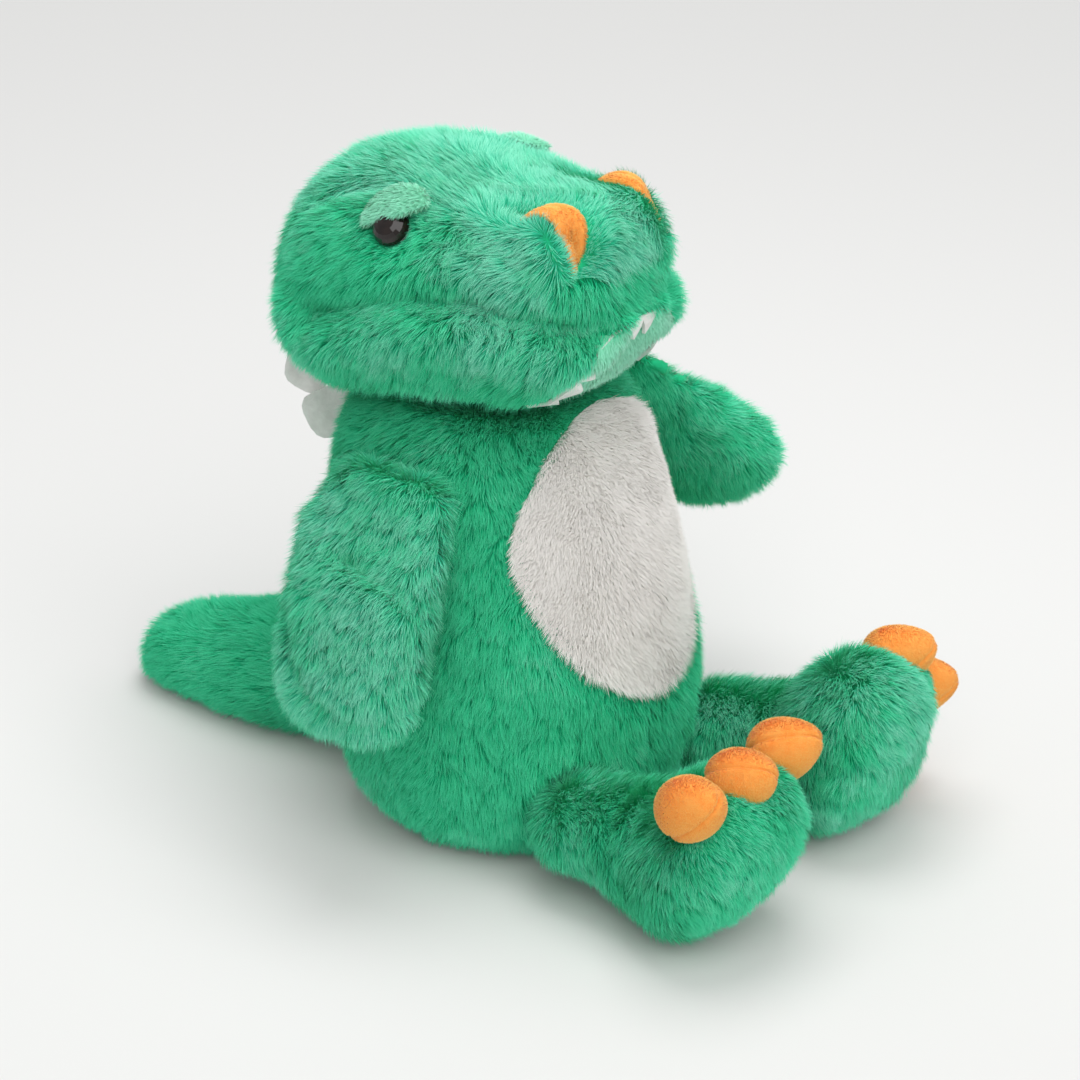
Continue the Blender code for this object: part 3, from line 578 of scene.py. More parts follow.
def applied(obj):
    """Turns an object's modifiers into its mesh."""
    shown = obj.evaluated_get(bpy.context.evaluated_depsgraph_get())
    mesh = bpy.data.meshes.new_from_object(shown)
    obj.modifiers.clear()
    old = obj.data
    obj.data = mesh
    bpy.data.meshes.remove(old)
    mesh.name = obj.name


def vertex_values(obj, kind):
    values = np.empty(len(obj.data.vertices) * 3)
    obj.data.vertices.foreach_get(kind, values)
    return values.reshape(-1, 3)


def points_of(obj):
    return vertex_values(obj, "co")


def normals_of(obj):
    return vertex_values(obj, "normal")


def set_points(obj, points):
    obj.data.vertices.foreach_set("co", np.ascontiguousarray(points).ravel())
    obj.data.update()


def edges_of(mesh):
    edges = np.empty(len(mesh.edges) * 2, np.int32)
    mesh.edges.foreach_get("vertices", edges)
    return edges.reshape(-1, 2)


def largest_piece(mesh):
    """Keeps only the outer skin where a remesh leaves closed hollows inside."""
    edges = edges_of(mesh)
    label = np.arange(len(mesh.vertices))
    while (label[edges[:, 0]] != label[edges[:, 1]]).any():
        low = np.minimum(label[edges[:, 0]], label[edges[:, 1]])
        np.minimum.at(label, edges[:, 0], low)
        np.minimum.at(label, edges[:, 1], low)
        label = label[label]
    main_one = np.bincount(label).argmax()
    bm = bmesh.new()
    bm.from_mesh(mesh)
    bm.verts.ensure_lookup_table()
    bmesh.ops.delete(bm, geom=[bm.verts[i] for i in np.nonzero(label != main_one)[0]], context="VERTS")
    bm.to_mesh(mesh)
    bm.free()


def relax(obj, rounds=RELAX_ROUNDS):
    """Evens out facets without shrinking the form."""
    points = points_of(obj)
    edges = edges_of(obj.data)
    ends = edges.ravel()
    others = edges[:, ::-1].ravel()
    count = np.maximum(np.bincount(ends, minlength=len(points)), 1)
    for share in RELAX_STEPS * rounds:
        total = [np.bincount(ends, points[others, k], len(points)) / count for k in range(3)]
        points = points + share * (np.stack(total, axis=1) - points)
    set_points(obj, points)


def bag(name, nodes, inset, voxel=BAG_VOXEL, rounds=BAG_ROUNDS):
    """One closed skin round some CAD nodes, smoothed, and set back by the room its pile takes."""
    bm = bmesh.new()
    for node in nodes:
        bm.from_mesh(NODES[node].data)
    obj = linked(name, mesh_of(bm, name))
    remesh = obj.modifiers.new("skin", "REMESH")
    remesh.mode = "VOXEL"
    remesh.voxel_size = voxel
    applied(obj)
    largest_piece(obj.data)
    relax(obj, rounds)
    set_points(obj, points_of(obj) - normals_of(obj) * inset)
    relax(obj)
    obj.data.polygons.foreach_set("use_smooth", [True] * len(obj.data.polygons))
    return obj


def swell(obj, held):
    """Fills a sewn skin: its cloth swells under pressure between the places where it is held."""
    scene = bpy.context.scene
    before = points_of(obj)
    group = obj.vertex_groups.new(name="held")
    group.add(np.nonzero(held)[0].tolist(), 1.0, "REPLACE")
    cloth = obj.modifiers.new("filling", "CLOTH")
    cloth.collision_settings.use_collision = False
    rules = cloth.settings
    rules.vertex_group_mass = group.name
    rules.mass = FILL_MASS
    rules.quality = FILL_QUALITY
    rules.tension_stiffness = FILL_STIFFNESS
    rules.compression_stiffness = FILL_STIFFNESS
    rules.shear_stiffness = FILL_STIFFNESS / 2
    rules.bending_stiffness = FILL_BENDING
    for kind in ("tension", "compression", "shear"):
        setattr(rules, f"{kind}_damping", FILL_DAMPING)
    rules.use_pressure = True
    rules.uniform_pressure_force = FILL_TENSION / np.ptp(before, axis=0).mean() * 2
    rules.effector_weights.gravity = 0.0
    for step in range(1, FILL_STEPS + 1):
        scene.frame_set(step)
    applied(obj)
    scene.frame_set(1)
    moved = points_of(obj) - before
    far = np.linalg.norm(moved, axis=1)
    set_points(obj, before + moved * np.minimum(1, FILL_CAP / np.maximum(far, 1e-9))[:, None])


def sewn_bag(name, nodes, room, seams, roots=()):
    """A stuffed bag: a skin that swells between its seams, its joints and the floor."""
    skin = bag(name, nodes, room + FILL_ROOM)
    points = points_of(skin)
    held = points[:, 2] < SEAT_HOLD
    for line in seams:
        held |= line_distance(points, line) < SEAM_HOLD
    for spot, reach in roots:
        held |= spot_distance(points, spot) < reach
    swell(skin, held)
    return skin


def plump(obj, spots):
    """Adds filling round some spots of a skin, or takes it away."""
    points = points_of(obj)
    push = np.zeros(len(points))
    for x, y, z, reach, amount in spots:
        push += amount * MM * near_spot(points, np.array((x, y, z)) * MM, reach * MM)
    set_points(obj, points + normals_of(obj) * push[:, None])
    relax(obj)


def crease(obj, line, depth, width, roll=0.0, under=0.0):
    """Draws the skin in along a seam or fold, raises a roll on both sides of it, and another below it."""
    points = points_of(obj)
    far, drop = line_offset(points, line)
    push = roll * np.exp(-((far - ROLL_AWAY * width) / width) ** 2) - depth * np.exp(-(far / width) ** 2)
    push += under * np.exp(-((far - UNDER_AWAY * width) / (UNDER_WIDE * width)) ** 2) * (drop > 0)
    set_points(obj, points + normals_of(obj) * push[:, None])


def wear(obj, look):
    material, slot = look
    obj.data.materials.clear()
    obj.data.materials.append(material)


def stands_for(obj, body, nodes, look):
    """Puts a stuffed or sewn piece on its body in place of the CAD nodes."""
    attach(obj, body)
    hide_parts(*nodes)
    wear(obj, look)


def distance_from(points, others, reach):
    """How far each point lies outside the other skins, up to a reach; less than zero inside one."""
    best = np.full(len(points), reach)
    for other in others:
        spots = points_of(other)
        low = spots.min(axis=0) - reach
        high = spots.max(axis=0) + reach
        tree = BVHTree.FromObject(other, bpy.context.evaluated_depsgraph_get())
        for i in np.nonzero(((points > low) & (points < high)).all(axis=1))[0]:
            spot, normal, _, away = tree.find_nearest(points[i])
            if (Vector(points[i]) - spot).dot(normal) < 0:
                away = -away
            best[i] = min(best[i], away)
    return best


class Pile:
    """Strands of one cloth: how thick on the ground, how long, how steep, and how they gather in locks."""

    def __init__(self, look, per_mm2, length, lift, width, locks):
        self.look = look
        self.per_m2 = per_mm2 * 1e6
        self.length = length
        self.lift = lift
        self.width = width
        self.locks = locks

    def grow(self, name, skin, body, seed, nap, trim=None, shade=None, others=(), near=NEAR_CLAWS):
        """Strands on a skin, as pieces that ride on its body, cut short near the other skins."""
        rng = np.random.default_rng(seed)
        points, normals = self.roots(skin, rng)
        share = np.ones(len(points)) if trim is None else trim(points)
        share = share * np.clip(FLOOR_SHARE + points[:, 2] / FLOOR_TRIM, 0, 1)
        if others:
            reach, least = near
            away = distance_from(points, others, reach)
            cut = least + (1 - least) * np.maximum(away, 0) / reach
            share = share * np.where(away > DEEPEST_ROOT, cut, 0)
        keep = share > LEAST_SHARE
        points = points[keep]
        tone = np.zeros(len(points)) if shade is None else shade(points)
        self.build(name, body, points, normals[keep], share[keep], nap(points), tone, rng, seed)

    def roots(self, skin, rng):
        """Even random spots on a skin, with the way out of it there."""
        mesh = skin.data
        mesh.calc_loop_triangles()
        corners = np.empty(len(mesh.loop_triangles) * 3, np.int32)
        mesh.loop_triangles.foreach_get("vertices", corners)
        corners = corners.reshape(-1, 3)
        spots = points_of(skin)
        a, b, c = (spots[corners[:, k]] for k in range(3))
        area = np.linalg.norm(np.cross(b - a, c - a), axis=1) / 2
        run = np.cumsum(area)
        count = int(run[-1] * self.per_m2)
        pick = np.searchsorted(run, (np.arange(count) + rng.random(count)) / count * run[-1])
        pick = np.minimum(pick, len(corners) - 1)
        u = rng.random(count)
        v = rng.random(count)
        over = u + v > 1
        u[over] = 1 - u[over]
        v[over] = 1 - v[over]
        mix = np.stack([1 - u - v, u, v], axis=1)
        up = normals_of(skin)
        points = sum(mix[:, k:k + 1] * spots[corners[pick, k]] for k in range(3))
        normals = sum(mix[:, k:k + 1] * up[corners[pick, k]] for k in range(3))
        return points, unit(normals)

    def build(self, name, body, points, normals, share, nap, tone, rng, seed):
        """Bends each strand from its root along the nap and into its locks."""
        count = len(points)

        def flat(v):
            return v - normals * np.einsum("ij,ij->i", v, normals)[:, None]

        def drift(amount, size, step):
            return amount * noise(points, size, seed + step)

        stray = sum(amount * noise_vector(points, size, seed + step) for amount, size, step in STRAY)
        lie = unit(flat(unit(flat(nap)) + stray))
        way = np.zeros_like(points)
        for k, (size, pull) in enumerate(self.locks):
            step, number = tuft_of(points, size * MM, seed + LOCK_SEEDS[0] + LOCK_SEEDS[1] * k)
            way += flat(step) * pull
            tone = tone + LOCK_TONE * (number - 0.5)
        way *= share[:, None]
        jitter = rng.normal(0, STRAND_JITTER, (count, 3))
        first = unit(normals * self.lift + lie * (1 - self.lift) + jitter)
        then = unit(first + lie * STRAND_BEND - normals * STRAND_DROOP + jitter)
        spread = STRAND_SHORTEST + STRAND_SPREAD * rng.random(count)
        length = self.length * share * spread * (1 + drift(*LENGTH_DRIFT))
        half = (length / 2)[:, None]
        middle = points + first * half + way * MIDDLE_PULL
        tip = middle + then * half + way * TIP_PULL
        flatways = unit(np.cross(first, normals))
        turn = rng.uniform(-BLADE_TURN, BLADE_TURN, count)[:, None]
        side = flatways * np.cos(turn) + np.cross(first, flatways) * np.sin(turn)
        side = side * (self.width * (BLADE_THINNEST + BLADE_SPREAD * rng.random(count)) / 2)[:, None]
        thin = side * BLADE_NARROW
        corners = np.stack([points - side, points + side, middle - thin, middle + thin, tip], axis=1)
        corners[:, :, 2] = np.maximum(corners[:, :, 2], FLOOR_CLEAR)
        lit = unit(normals * BLADE_SKIN + unit(np.cross(side, first)) * BLADE_OWN)
        tone = 0.5 + tone + drift(*TONE_DRIFT) + rng.normal(0, TONE_JITTER, count)
        tone = np.clip(tone, *TONE_ENDS)
        order = np.argsort(points[:, 2])
        pieces = max(1, math.ceil(count / STRANDS_PER_PIECE))
        for k, part in enumerate(np.array_split(order, pieces)):
            self.piece(f"{name}_{k + 1}" if pieces > 1 else name, body, corners[part], lit[part], tone[part])

    def piece(self, name, body, corners, lit, tone):
        """One mesh of strands, each a short blade that narrows to its tip."""
        count = len(corners)
        loops = len(BLADE_FACES)
        faces = len(BLADE_STARTS)
        each = np.arange(count)[:, None]
        mesh = bpy.data.meshes.new(name)
        mesh.vertices.add(count * BLADE_CORNERS)
        mesh.vertices.foreach_set("co", corners.ravel())
        mesh.loops.add(count * loops)
        mesh.loops.foreach_set("vertex_index", (each * BLADE_CORNERS + BLADE_FACES).ravel())
        mesh.polygons.add(count * faces)
        mesh.polygons.foreach_set("loop_start", (each * loops + BLADE_STARTS).ravel())
        mesh.update(calc_edges=True)
        uv = np.stack([tone[:, None] + BLADE_ACROSS, np.broadcast_to(BLADE_ALONG, (count, loops))], axis=2)
        mesh.uv_layers.new(name="OFBake").data.foreach_set("uv", uv.ravel())
        mesh.polygons.foreach_set("use_smooth", np.ones(count * faces, bool))
        mesh.normals_split_custom_set_from_vertices(np.repeat(lit, BLADE_CORNERS, axis=0))
        obj = linked(name, mesh)
        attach(obj, body)
        wear(obj, self.look)


def sunk(deep, cut, tone, shade):
    """Trim, and painted shade, for pile that is cut short and darker where it lies deep."""
    return lambda points: 1 - cut * deep(points), lambda points: tone - shade * deep(points)


def lying(*way):
    """A nap that lies one way everywhere."""
    return lambda points: np.broadcast_to(np.array(way, float), points.shape)


def belly_gap(points):
    """Rough distance outside the white belly, less than zero on it."""
    above = points[:, 2] - BELLY_MIDDLE
    half = np.where(above > 0, BELLY_HIGH - BELLY_MIDDLE, BELLY_MIDDLE - BELLY_LOW)
    span = np.hypot((points[:, 0] - BELLY_X) / BELLY_HALF_WIDTH, above / half)
    return np.where(points[:, 1] < 0, (span - 1) * BELLY_HALF_WIDTH, 1.0)


def nostril_map(points):
    """Where points lie on a nostril patch: along its straight edge, and inward from it."""
    spots = both_sides(points)
    x = spots[:, 0] + NOSTRIL_EDGE
    y = spots[:, 1] - NOSTRIL_Y + (NOSTRIL_TOP - spots[:, 2]) * NOSTRIL_AIM.y / NOSTRIL_AIM.z
    along = y * math.cos(NOSTRIL_TOE) - x * math.sin(NOSTRIL_TOE)
    inward = x * math.cos(NOSTRIL_TOE) + y * math.sin(NOSTRIL_TOE)
    return along, inward


def nostril_gap(points):
    """Distance outside the nostril patches, less than zero on them."""
    along, inward = nostril_map(points)
    span = np.hypot(along / NOSTRIL_HALF_LENGTH, inward / NOSTRIL_REACH)
    gap = np.maximum((span - 1) * NOSTRIL_REACH, -NOSTRIL_STEEP * inward)
    return np.where(points[:, 2] > NOSTRIL_LOW, gap, 1.0)


def lip_gap(points):
    """Rough distance outside the arch of the lip, seen from the front."""
    wide = (np.abs(points[:, 0]) / LIP_HALF_WIDTH) ** LIP_POWER
    tall = (np.maximum(points[:, 2] - LIP_BASE, 0) / LIP_RISE) ** LIP_POWER
    return ((wide + tall) ** (1 / LIP_POWER) - 1) * LIP_HALF_WIDTH


def under_lip(points):
    return (lip_gap(points) < 0) & (points[:, 1] < LIP_BACK)


def eye_spot():
    """Middle of the right eye, as the CAD places it."""
    low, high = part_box("eye_right")
    return (np.array(low) + np.array(high)) / 2


def trim_body(points):
    gap = belly_gap(points)
    return np.where(gap < -GREEN_LAP, 0.0, np.clip(GREEN_SHORT + gap / GREEN_FADE, GREEN_SHORT, 1))


def trim_belly(points):
    gap = belly_gap(points)
    return np.where(gap < WHITE_LAP, 1 + WHITE_FRINGE * np.clip(1 + gap / WHITE_FADE, 0, 1), 0.0)


# Painted shade over all of the body's pile
def body_shade(points):
    return np.full(len(points), BODY_PAINTED_SHADE)


def fold_of(spots):
    """How deep each point of the head lies in one of its folds, from 0 to 1."""
    return np.minimum(sum(deep * near_line(spots, line, wide) for line, deep, wide in HEAD_FOLDS), 1)


def trim_head(points):
    spots = both_sides(points)
    from_eye = spot_distance(spots, eye_spot())
    share = np.clip(EYE_SHORT + (from_eye - EYE_RADIUS) / EYE_FADE, 0.0, 1.0)
    share[from_eye < EYE_RADIUS] = 0.0
    gap = nostril_gap(points)
    share *= np.where(gap < 0, 0, np.clip(NOSTRIL_SHORT + (1 - NOSTRIL_SHORT) * gap / NOSTRIL_CLEAR, 0, 1))
    share *= 1 - FOLD_CUT * fold_of(spots)
    share *= np.where(points[:, 1] < LIP_BACK, np.clip(LIP_SHORT + lip_gap(points) / LIP_CLEAR, 0, 1), 1)
    share[under_lip(points)] = 0.0
    return share


def trim_chin(points):
    return np.where(under_lip(points), 1.0, 0.0)


def head_shade(points):
    """Painted light on brow, muzzle and crown, painted shade in the folds, painted light on the roll below
    the jaw's.
    """
    spots = both_sides(points)
    far, drop = line_offset(spots, JAW)
    tone = sum(light * near_spot(spots, spot, reach) for light, spot, reach in PAINTED_LIGHT_SPOTS)
    tone += CROWN_LIGHT * np.clip((spots[:, 0] + CROWN_EDGE) / CROWN_FADE, 0, 1) * (spots[:, 2] > CROWN_LOW)
    tone -= FOLD_SHADE * fold_of(spots)
    return tone + JOWL_LIGHT * np.exp(-((far - JOWL_AWAY) / JOWL_WIDE) ** 2) * (drop > 0)


def patch(name, skin, inside, lift):
    """A thin piece of cloth over part of a skin."""
    bm = bmesh.new()
    bm.from_mesh(skin.data)
    middles = np.array([f.calc_center_median() for f in bm.faces])
    good = inside(middles)
    bm.faces.ensure_lookup_table()
    bmesh.ops.delete(bm, geom=[f for f, ok in zip(bm.faces[:], good) if not ok], context="FACES")
    obj = linked(name, mesh_of(bm, name))
    set_points(obj, points_of(obj) + normals_of(obj) * lift)
    thicken(obj, CLOTH_THICK)
    return obj


def thicken(obj, thick):
    """Gives a sheet its thickness, inward."""
    wall = obj.modifiers.new("thick", "SOLIDIFY")
    wall.thickness = thick
    wall.offset = -1
    applied(obj)


def nostril_patch(name, sign, skin):
    """A half-round velvet patch laid on the snout, with a soft fold along it and its edge tucked in."""
    rings = NOSTRIL_RINGS
    spokes = NOSTRIL_SPOKES
    tree = BVHTree.FromObject(skin, bpy.context.evaluated_depsgraph_get())
    bm = bmesh.new()
    grid = []
    for i in range(rings + 1):
        row = []
        for j in range(spokes + 1):
            turn = math.pi * (j / spokes - 0.5)
            along = NOSTRIL_HALF_LENGTH * i / rings * math.sin(turn)
            inward = NOSTRIL_REACH * (i / rings * math.cos(turn) * (1 + NOSTRIL_LAP) - NOSTRIL_LAP)
            x = -NOSTRIL_EDGE + inward * math.cos(NOSTRIL_TOE) - along * math.sin(NOSTRIL_TOE)
            y = NOSTRIL_Y + inward * math.sin(NOSTRIL_TOE) + along * math.cos(NOSTRIL_TOE)
            start = Vector((-sign * x, y, NOSTRIL_TOP)) - NOSTRIL_AIM * NOSTRIL_START
            hit, out, _, _ = tree.ray_cast(start, NOSTRIL_AIM)
            fold = math.exp(-((inward / NOSTRIL_REACH - NOSTRIL_FOLD) / NOSTRIL_FOLD_WIDE) ** 2)
            rise = NOSTRIL_RISE * (1 - (i / rings) ** NOSTRIL_CROWN) - NOSTRIL_FOLD_DEEP * fold
            row.append(bm.verts.new(hit + out * rise))
            if i == 0:
                row = row * (spokes + 1)
                break
        grid.append(row)
    for i in range(rings):
        for j in range(spokes):
            corners = (grid[i][j], grid[i][j + 1], grid[i + 1][j + 1], grid[i + 1][j])
            bm.faces.new(list(dict.fromkeys(corners)))
    bmesh.ops.recalc_face_normals(bm, faces=bm.faces)
    if bm.faces[:][0].normal.z < 0:
        bmesh.ops.reverse_faces(bm, faces=bm.faces)
    mesh = mesh_of(bm, name)
    mesh.shade_smooth()
    obj = linked(name, mesh)
    thicken(obj, NOSTRIL_THICK)
    return obj


def copy_of(node, name, cuts, seed):
    """A CAD node's own form with finer faces and a slightly uneven surface."""
    mesh = NODES[node].data.copy()
    mesh.name = name
    obj = linked(name, mesh)
    bm = bmesh.new()
    bm.from_mesh(mesh)
    bmesh.ops.remove_doubles(bm, verts=bm.verts, dist=FELT_WELD)
    for _ in range(cuts):
        long = [e for e in bm.edges if e.calc_length() > FELT_FACE]
        bmesh.ops.subdivide_edges(bm, edges=long, cuts=1, use_grid_fill=True)
    bm.to_mesh(mesh)
    bm.free()
    points = points_of(obj)
    set_points(obj, points + noise_vector(points, FELT_GRAIN, seed) * FELT_ROUGH)
    return obj


def dress_body(looks):
    roots = [(JOINT_AT[joint], reach) for joint, reach in BODY_HOLDS.items()]
    skin = sewn_bag("body_plush", ("body_cover", "body_stuffing", "belly_panel"), ROOM["body"], (), roots)
    plump(skin, MORE_FILL["body"])
    stands_for(skin, "body", ("body_cover", "body_stuffing"), looks["green_cloth"])
    belly = patch("belly_plush", skin, lambda points: belly_gap(points) < -BELLY_CLOTH_LAP, BELLY_RISE)
    stands_for(belly, "body", ("belly_panel",), looks["white_cloth"])
    return skin


def dress_head(looks):
    parts = ("head_cover", "head_stuffing", "chin_panel", "nostril_right", "nostril_left")
    creases = [(line, form) for one, form in HEAD_CREASES for line in (one, mirrored(one))]
    roots = [(JOINT_AT["head_nod"], HEAD_HOLD)]
    skin = sewn_bag("head_plush", parts, ROOM["head"], [line for line, _ in creases], roots)
    plump(skin, MORE_FILL["head"])
    for line, form in creases:
        crease(skin, line, *form)
    stands_for(skin, "head", parts[:2], looks["green_cloth"])
    chin = patch("chin_plush", skin, under_lip, CHIN_RISE)
    stands_for(chin, "head", ("chin_panel",), looks["pale_cloth"])
    neck = bag("neck_plush", ("neck_stuffing",), NECK_ROOM)
    stands_for(neck, "neck", ("neck_stuffing",), looks["green_cloth"])
    return skin


def shape_lid(lid, sign):
    """Draws an eyelid in along its length, makes it taller, and sets it down on the eye."""
    side = np.array((sign, 1, 1))
    points = points_of(lid)
    off = points - points.mean(axis=0)
    for way, size in ((LID_ALONG * side, LID_LENGTH), (LID_UP * side, LID_HEIGHT)):
        points = points + (off @ way)[:, None] * way * (size - 1)
    set_points(lid, points + LID_SHIFT * side)


def dress_face(head, looks):
    """Nostril patches and eyelids, with their short pile."""
    velvet = Pile(looks["orange_pile"], *PILES["nostril"])
    fuzz = Pile(looks["pale_pile"], *PILES["eyelid"])
    for side, sign in SIDES.items():
        made = nostril_patch(f"nostril_{side}_plush", sign, head)
        stands_for(made, "head", (f"nostril_{side}",), looks["orange_cloth"])
        velvet.grow(f"nostril_{side}_pile", made, "head", 811 + sign, lying(0, 0.3, -1))
        lid = bag(f"eyelid_{side}_plush", (f"eyelid_{side}",), 0.0, LID_VOXEL, LID_ROUNDS)
        shape_lid(lid, sign)
        stands_for(lid, "head", (f"eyelid_{side}",), looks["pale_cloth"])
        fuzz.grow(f"eyelid_{side}_pile", lid, "head", 821 + sign, lying(sign * 0.4, 0.4, -1))


def dress_limb(name, nodes, joint, reach, looks):
    seams = LIMB_SEAMS[name]
    skin = sewn_bag(f"{name}_plush", nodes, ROOM[name], seams, [(JOINT_AT[joint], reach)])
    plump(skin, MORE_FILL[name])
    for line in seams:
        crease(skin, line, *LIMB_CREASE)
    stands_for(skin, name, nodes, looks["green_cloth"])
    return skin


def claw_place(side, which):
    """Where the CAD puts a claw: its own -Y end is the tip, lifted and fanned out over the toes."""
    out = SIDES[side]
    step = CLAWS.index(which) - 1
    back = CLAW_TUCK[side] if which == "outer" else 0.0
    leg = Matrix.Translation(JOINT_AT[f"hip_{side}"]) @ Matrix.Rotation(out * LEG_OUT[side], 4, "Z")
    row = Matrix.Translation((0, -CLAW_AHEAD, CLAW_ROW[side]))
    row = row @ Matrix.Rotation(out * FOOT_ROLL[side], 4, "Y")
    spot = Matrix.Translation((out * step * CLAW_SPACING, back, CLAW_RISE))
    aim = Matrix.Rotation(out * step * CLAW_FAN, 4, "Z") @ Matrix.Rotation(-CLAW_LIFT, 4, "X")
    return leg @ row @ spot @ aim


def claw_egg(name, place):
    """A stuffed egg that narrows to its tip, drawn in along the seam from root to tip."""
    bm = bmesh.new()
    bmesh.ops.create_uvsphere(bm, u_segments=CLAW_SEGMENTS[0], v_segments=CLAW_SEGMENTS[1], radius=1.0)
    for v in bm.verts:
        around, along, up = v.co.x, v.co.z, v.co.y
        slim = 1 + CLAW_TAPER * along
        seam = 1 - CLAW_SEAM * math.exp(-(around / CLAW_SEAM_WIDTH) ** 2)
        egg = Vector((around * slim * CLAW_SIZE[0], along * CLAW_SIZE[1], -up * slim * CLAW_SIZE[2]))
        v.co = place @ (egg * seam)
    if bm.calc_volume(signed=True) < 0:
        bmesh.ops.reverse_faces(bm, faces=bm.faces)
    bm.normal_update()
    mesh = mesh_of(bm, name)
    mesh.shade_smooth()
    return linked(name, mesh)


def claw_groove(place):
    """Trim of the velvet along a claw's seam, and painted shade there."""
    back = np.array(place.inverted())

    def deep(points):
        return np.exp(-((points @ back[0, :3] + back[0, 3]) / GROOVE_WIDTH) ** 2)

    return sunk(deep, GROOVE_CUT, CLAW_TONE, GROOVE_SHADE)


def dress_claws(side, looks):
    """Egg-shaped stuffed claws with a short velvet pile."""
    velvet = Pile(looks["orange_pile"], *PILES["claw"])
    made = []
    for k, which in enumerate(CLAWS):
        node = f"claw_{side}_{which}"
        place = Matrix.Translation(CLAW_SHIFT[side][k]) @ claw_place(side, which)
        place = place @ Matrix.Rotation(CLAW_ROLL[side][k], 4, "Y")
        claw = claw_egg(f"{node}_plush", place)
        stands_for(claw, f"leg_{side}", (node,), looks["orange_cloth"])
        velvet.grow(f"{node}_pile", claw, f"leg_{side}", 841 + 10 * k, lying(0, -0.5, -1),
                    *claw_groove(place))
        made.append(claw)
    return made


def dress_felt(looks):
    strip = copy_of("tooth_strip", "tooth_felt", cuts=2, seed=31)
    set_points(strip, points_of(strip) * TOOTH_DRAW + TOOTH_TUCK)
    stands_for(strip, "head", ("tooth_strip",), looks["felt"])
    for node, body, flat in (("nape_plate", "head", NAPE_FLAT), ("back_plate", "body", BACK_FLAT)):
        tab = copy_of(node, f"{node}_felt", cuts=4, seed=41)
        set_points(tab, points_of(tab) + np.array(TAB_SHIFT[node]))
        stands_for(tab, body, (node,), looks["felt"])


def dress_hard(looks):
    for side in SIDES:
        wear(NODES[f"eye_{side}"], looks["eye"])
        wear(NODES[f"eye_washer_{side}"], looks["nylon"])


def make_looks():
    """Each look's material, with its slot."""
    looks = {}
    for make, table in ((cloth_material, CLOTHS), (plastic_material, PLASTICS), (pile_material, PILE_LOOKS)):
        for key, (name, slot, *rest) in table.items():
            looks[key] = (make(name, *rest), slot)
    return looks


def head_nap(points):
    """Back over the crown, down the cheeks and the snout, and in over the nostrils' straight edges."""
    way = np.zeros_like(points)
    way[:, 0] = np.clip(points[:, 0] / HEAD_HALF_WIDTH, -1, 1) * HEAD_NAP[0]
    way[:, 1:] = HEAD_NAP[1:]
    near = np.exp(-(np.maximum(nostril_gap(points), 0) / NOSTRIL_COMB) ** 2)[:, None]
    inward = np.zeros_like(points)
    inward[:, 0] = -np.sign(points[:, 0])
    inward[:, 2] = NOSTRIL_COMB_UP
    return way * (1 - near) + inward * near


def belly_nap(points):
    """Down, and outward near the edge of the panel."""
    way = np.zeros_like(points)
    way[:, 0] = BELLY_NAP_OUT * ((points[:, 0] - BELLY_X) / BELLY_HALF_WIDTH) ** 3
    way[:, 2] = BELLY_NAP_DOWN
    return way


def seam_cut(name):
    """Trim of the pile along the seams of a limb, with painted shade there, on top of the limb's own painted
    light and shade.
    """
    def deep(points):
        return np.minimum(sum(near_line(points, line, LIMB_FOLD) for line in LIMB_SEAMS[name]), 1)

    return sunk(deep, LIMB_CUT, LIMB_PAINTED_LIGHT_AND_SHADE[name], LIMB_SHADE)


def make_pile(skins, claws, looks):
    long = Pile(looks["green_pile"], *PILES["long"])
    belly = Pile(looks["white_pile"], *PILES["belly"])
    chin = Pile(looks["pale_pile"], *PILES["chin"])
    long.grow("body_pile", skins["body"], "body", 101, lying(0, 0, -1), trim_body, body_shade)
    long.grow("head_pile", skins["head"], "head", 211, head_nap, trim_head, head_shade)
    belly.grow("belly_pile", skins["body"], "body", 307, belly_nap, trim_belly)
    chin.grow("chin_pile", skins["head"], "head", 401, lying(0, 0, -1), trim_chin)
    for side, sign in SIDES.items():
        arm = skins[f"arm_{side}"]
        axis = points_of(arm).mean(axis=0) - JOINT_AT[f"shoulder_{side}"]
        axis = axis / np.linalg.norm(axis) + ARM_DROOP
        long.grow(f"arm_{side}_pile", arm, f"arm_{side}", 503 + sign, lying(*axis), *seam_cut(f"arm_{side}"),
                  others=[skins["body"]], near=NEAR_BODY)
        long.grow(f"leg_{side}_pile", skins[f"leg_{side}"], f"leg_{side}", 601 + sign, lying(0, -0.6, -0.8),
                  *seam_cut(f"leg_{side}"), others=claws[side])
    long.grow("tail_pile", skins["tail"], "tail", 701, lying(0, 1, -0.4), *seam_cut("tail"),
              others=[skins["body"]], near=NEAR_BODY)


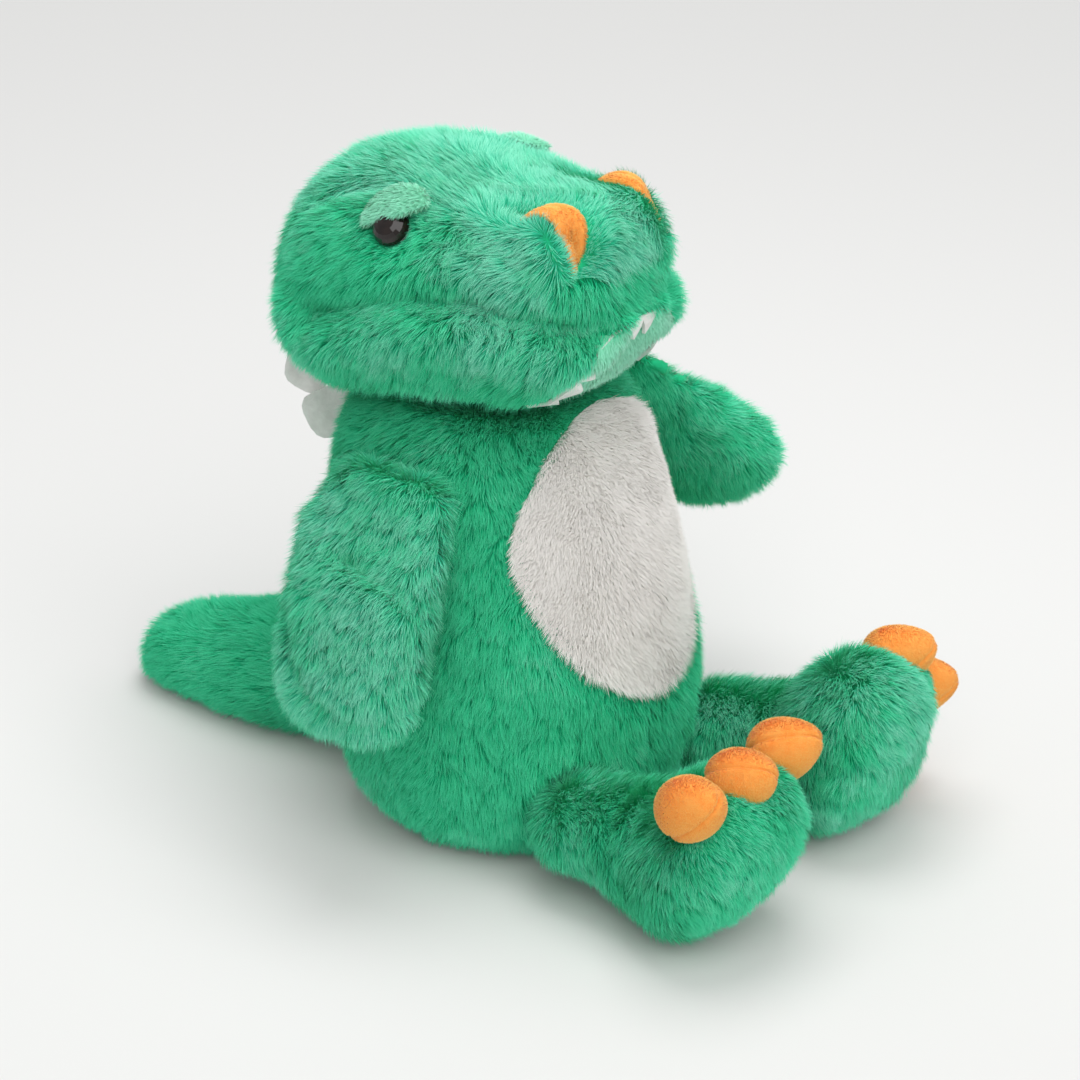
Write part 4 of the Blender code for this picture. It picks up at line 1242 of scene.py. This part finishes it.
def make_stage():
    bm = bmesh.new()
    bmesh.ops.create_grid(bm, x_segments=1, y_segments=1, size=FLOOR_SIZE)
    floor = linked("floor", mesh_of(bm, "floor"))
    mat, shader = new_material("floor paper", roughness=0.9, sheen=0.0, specular=0.1)
    shader.inputs["Base Color"].default_value = FLOOR
    floor.data.materials.append(mat)


def make_light():
    world = bpy.data.worlds.new("studio")
    bpy.context.scene.world = world
    world.use_nodes = True
    back = world.node_tree.nodes["Background"]
    back.inputs["Color"].default_value = (1, 1, 1, 1)
    back.inputs["Strength"].default_value = WORLD_LEVEL
    lamp = bpy.data.lights.new("key", "SUN")
    lamp.energy = KEY_POWER
    lamp.angle = KEY_SPREAD
    key = linked("key", lamp)
    key.location = KEY_PLACE
    key.rotation_euler = (VIEW_TARGET - key.location).to_track_quat("-Z", "Y").to_euler()
    lamp = bpy.data.lights.new("top", "AREA")
    lamp.shape = "DISK"
    lamp.size = TOP_SIZE
    lamp.energy = TOP_POWER
    linked("top", lamp).location = TOP_PLACE


def make_camera():
    lens = bpy.data.cameras.new("camera")
    lens.lens = VIEW_LENS
    lens.sensor_width = VIEW_SENSOR
    camera = linked("camera", lens)
    flat = math.cos(VIEW_UP)
    back = Vector((-math.sin(VIEW_ROUND) * flat, -math.cos(VIEW_ROUND) * flat, math.sin(VIEW_UP)))
    camera.location = VIEW_TARGET + back * VIEW_DISTANCE
    camera.rotation_euler = back.to_track_quat("Z", "Y").to_euler()
    bpy.context.scene.camera = camera
    bpy.context.scene.view_settings.view_transform = "Standard"


def main():
    looks = make_looks()
    skins = {"body": dress_body(looks), "head": dress_head(looks)}
    claws = {}
    for side in SIDES:
        arm = f"arm_{side}"
        leg = f"leg_{side}"
        skins[arm] = dress_limb(arm, (f"{arm}_cover", f"{arm}_stuffing"), f"shoulder_{side}", ARM_HOLD, looks)
        nodes = (f"{leg}_cover", f"{leg}_stuffing", f"sole_{side}")
        skins[leg] = dress_limb(leg, nodes, f"hip_{side}", LEG_HOLD, looks)
        claws[side] = dress_claws(side, looks)
    skins["tail"] = dress_limb("tail", ("tail_cover", "tail_stuffing"), "tail_wag", TAIL_HOLD, looks)
    dress_face(skins["head"], looks)
    dress_felt(looks)
    dress_hard(looks)
    make_pile(skins, claws, looks)
    make_stage()
    make_light()
    make_camera()


main()
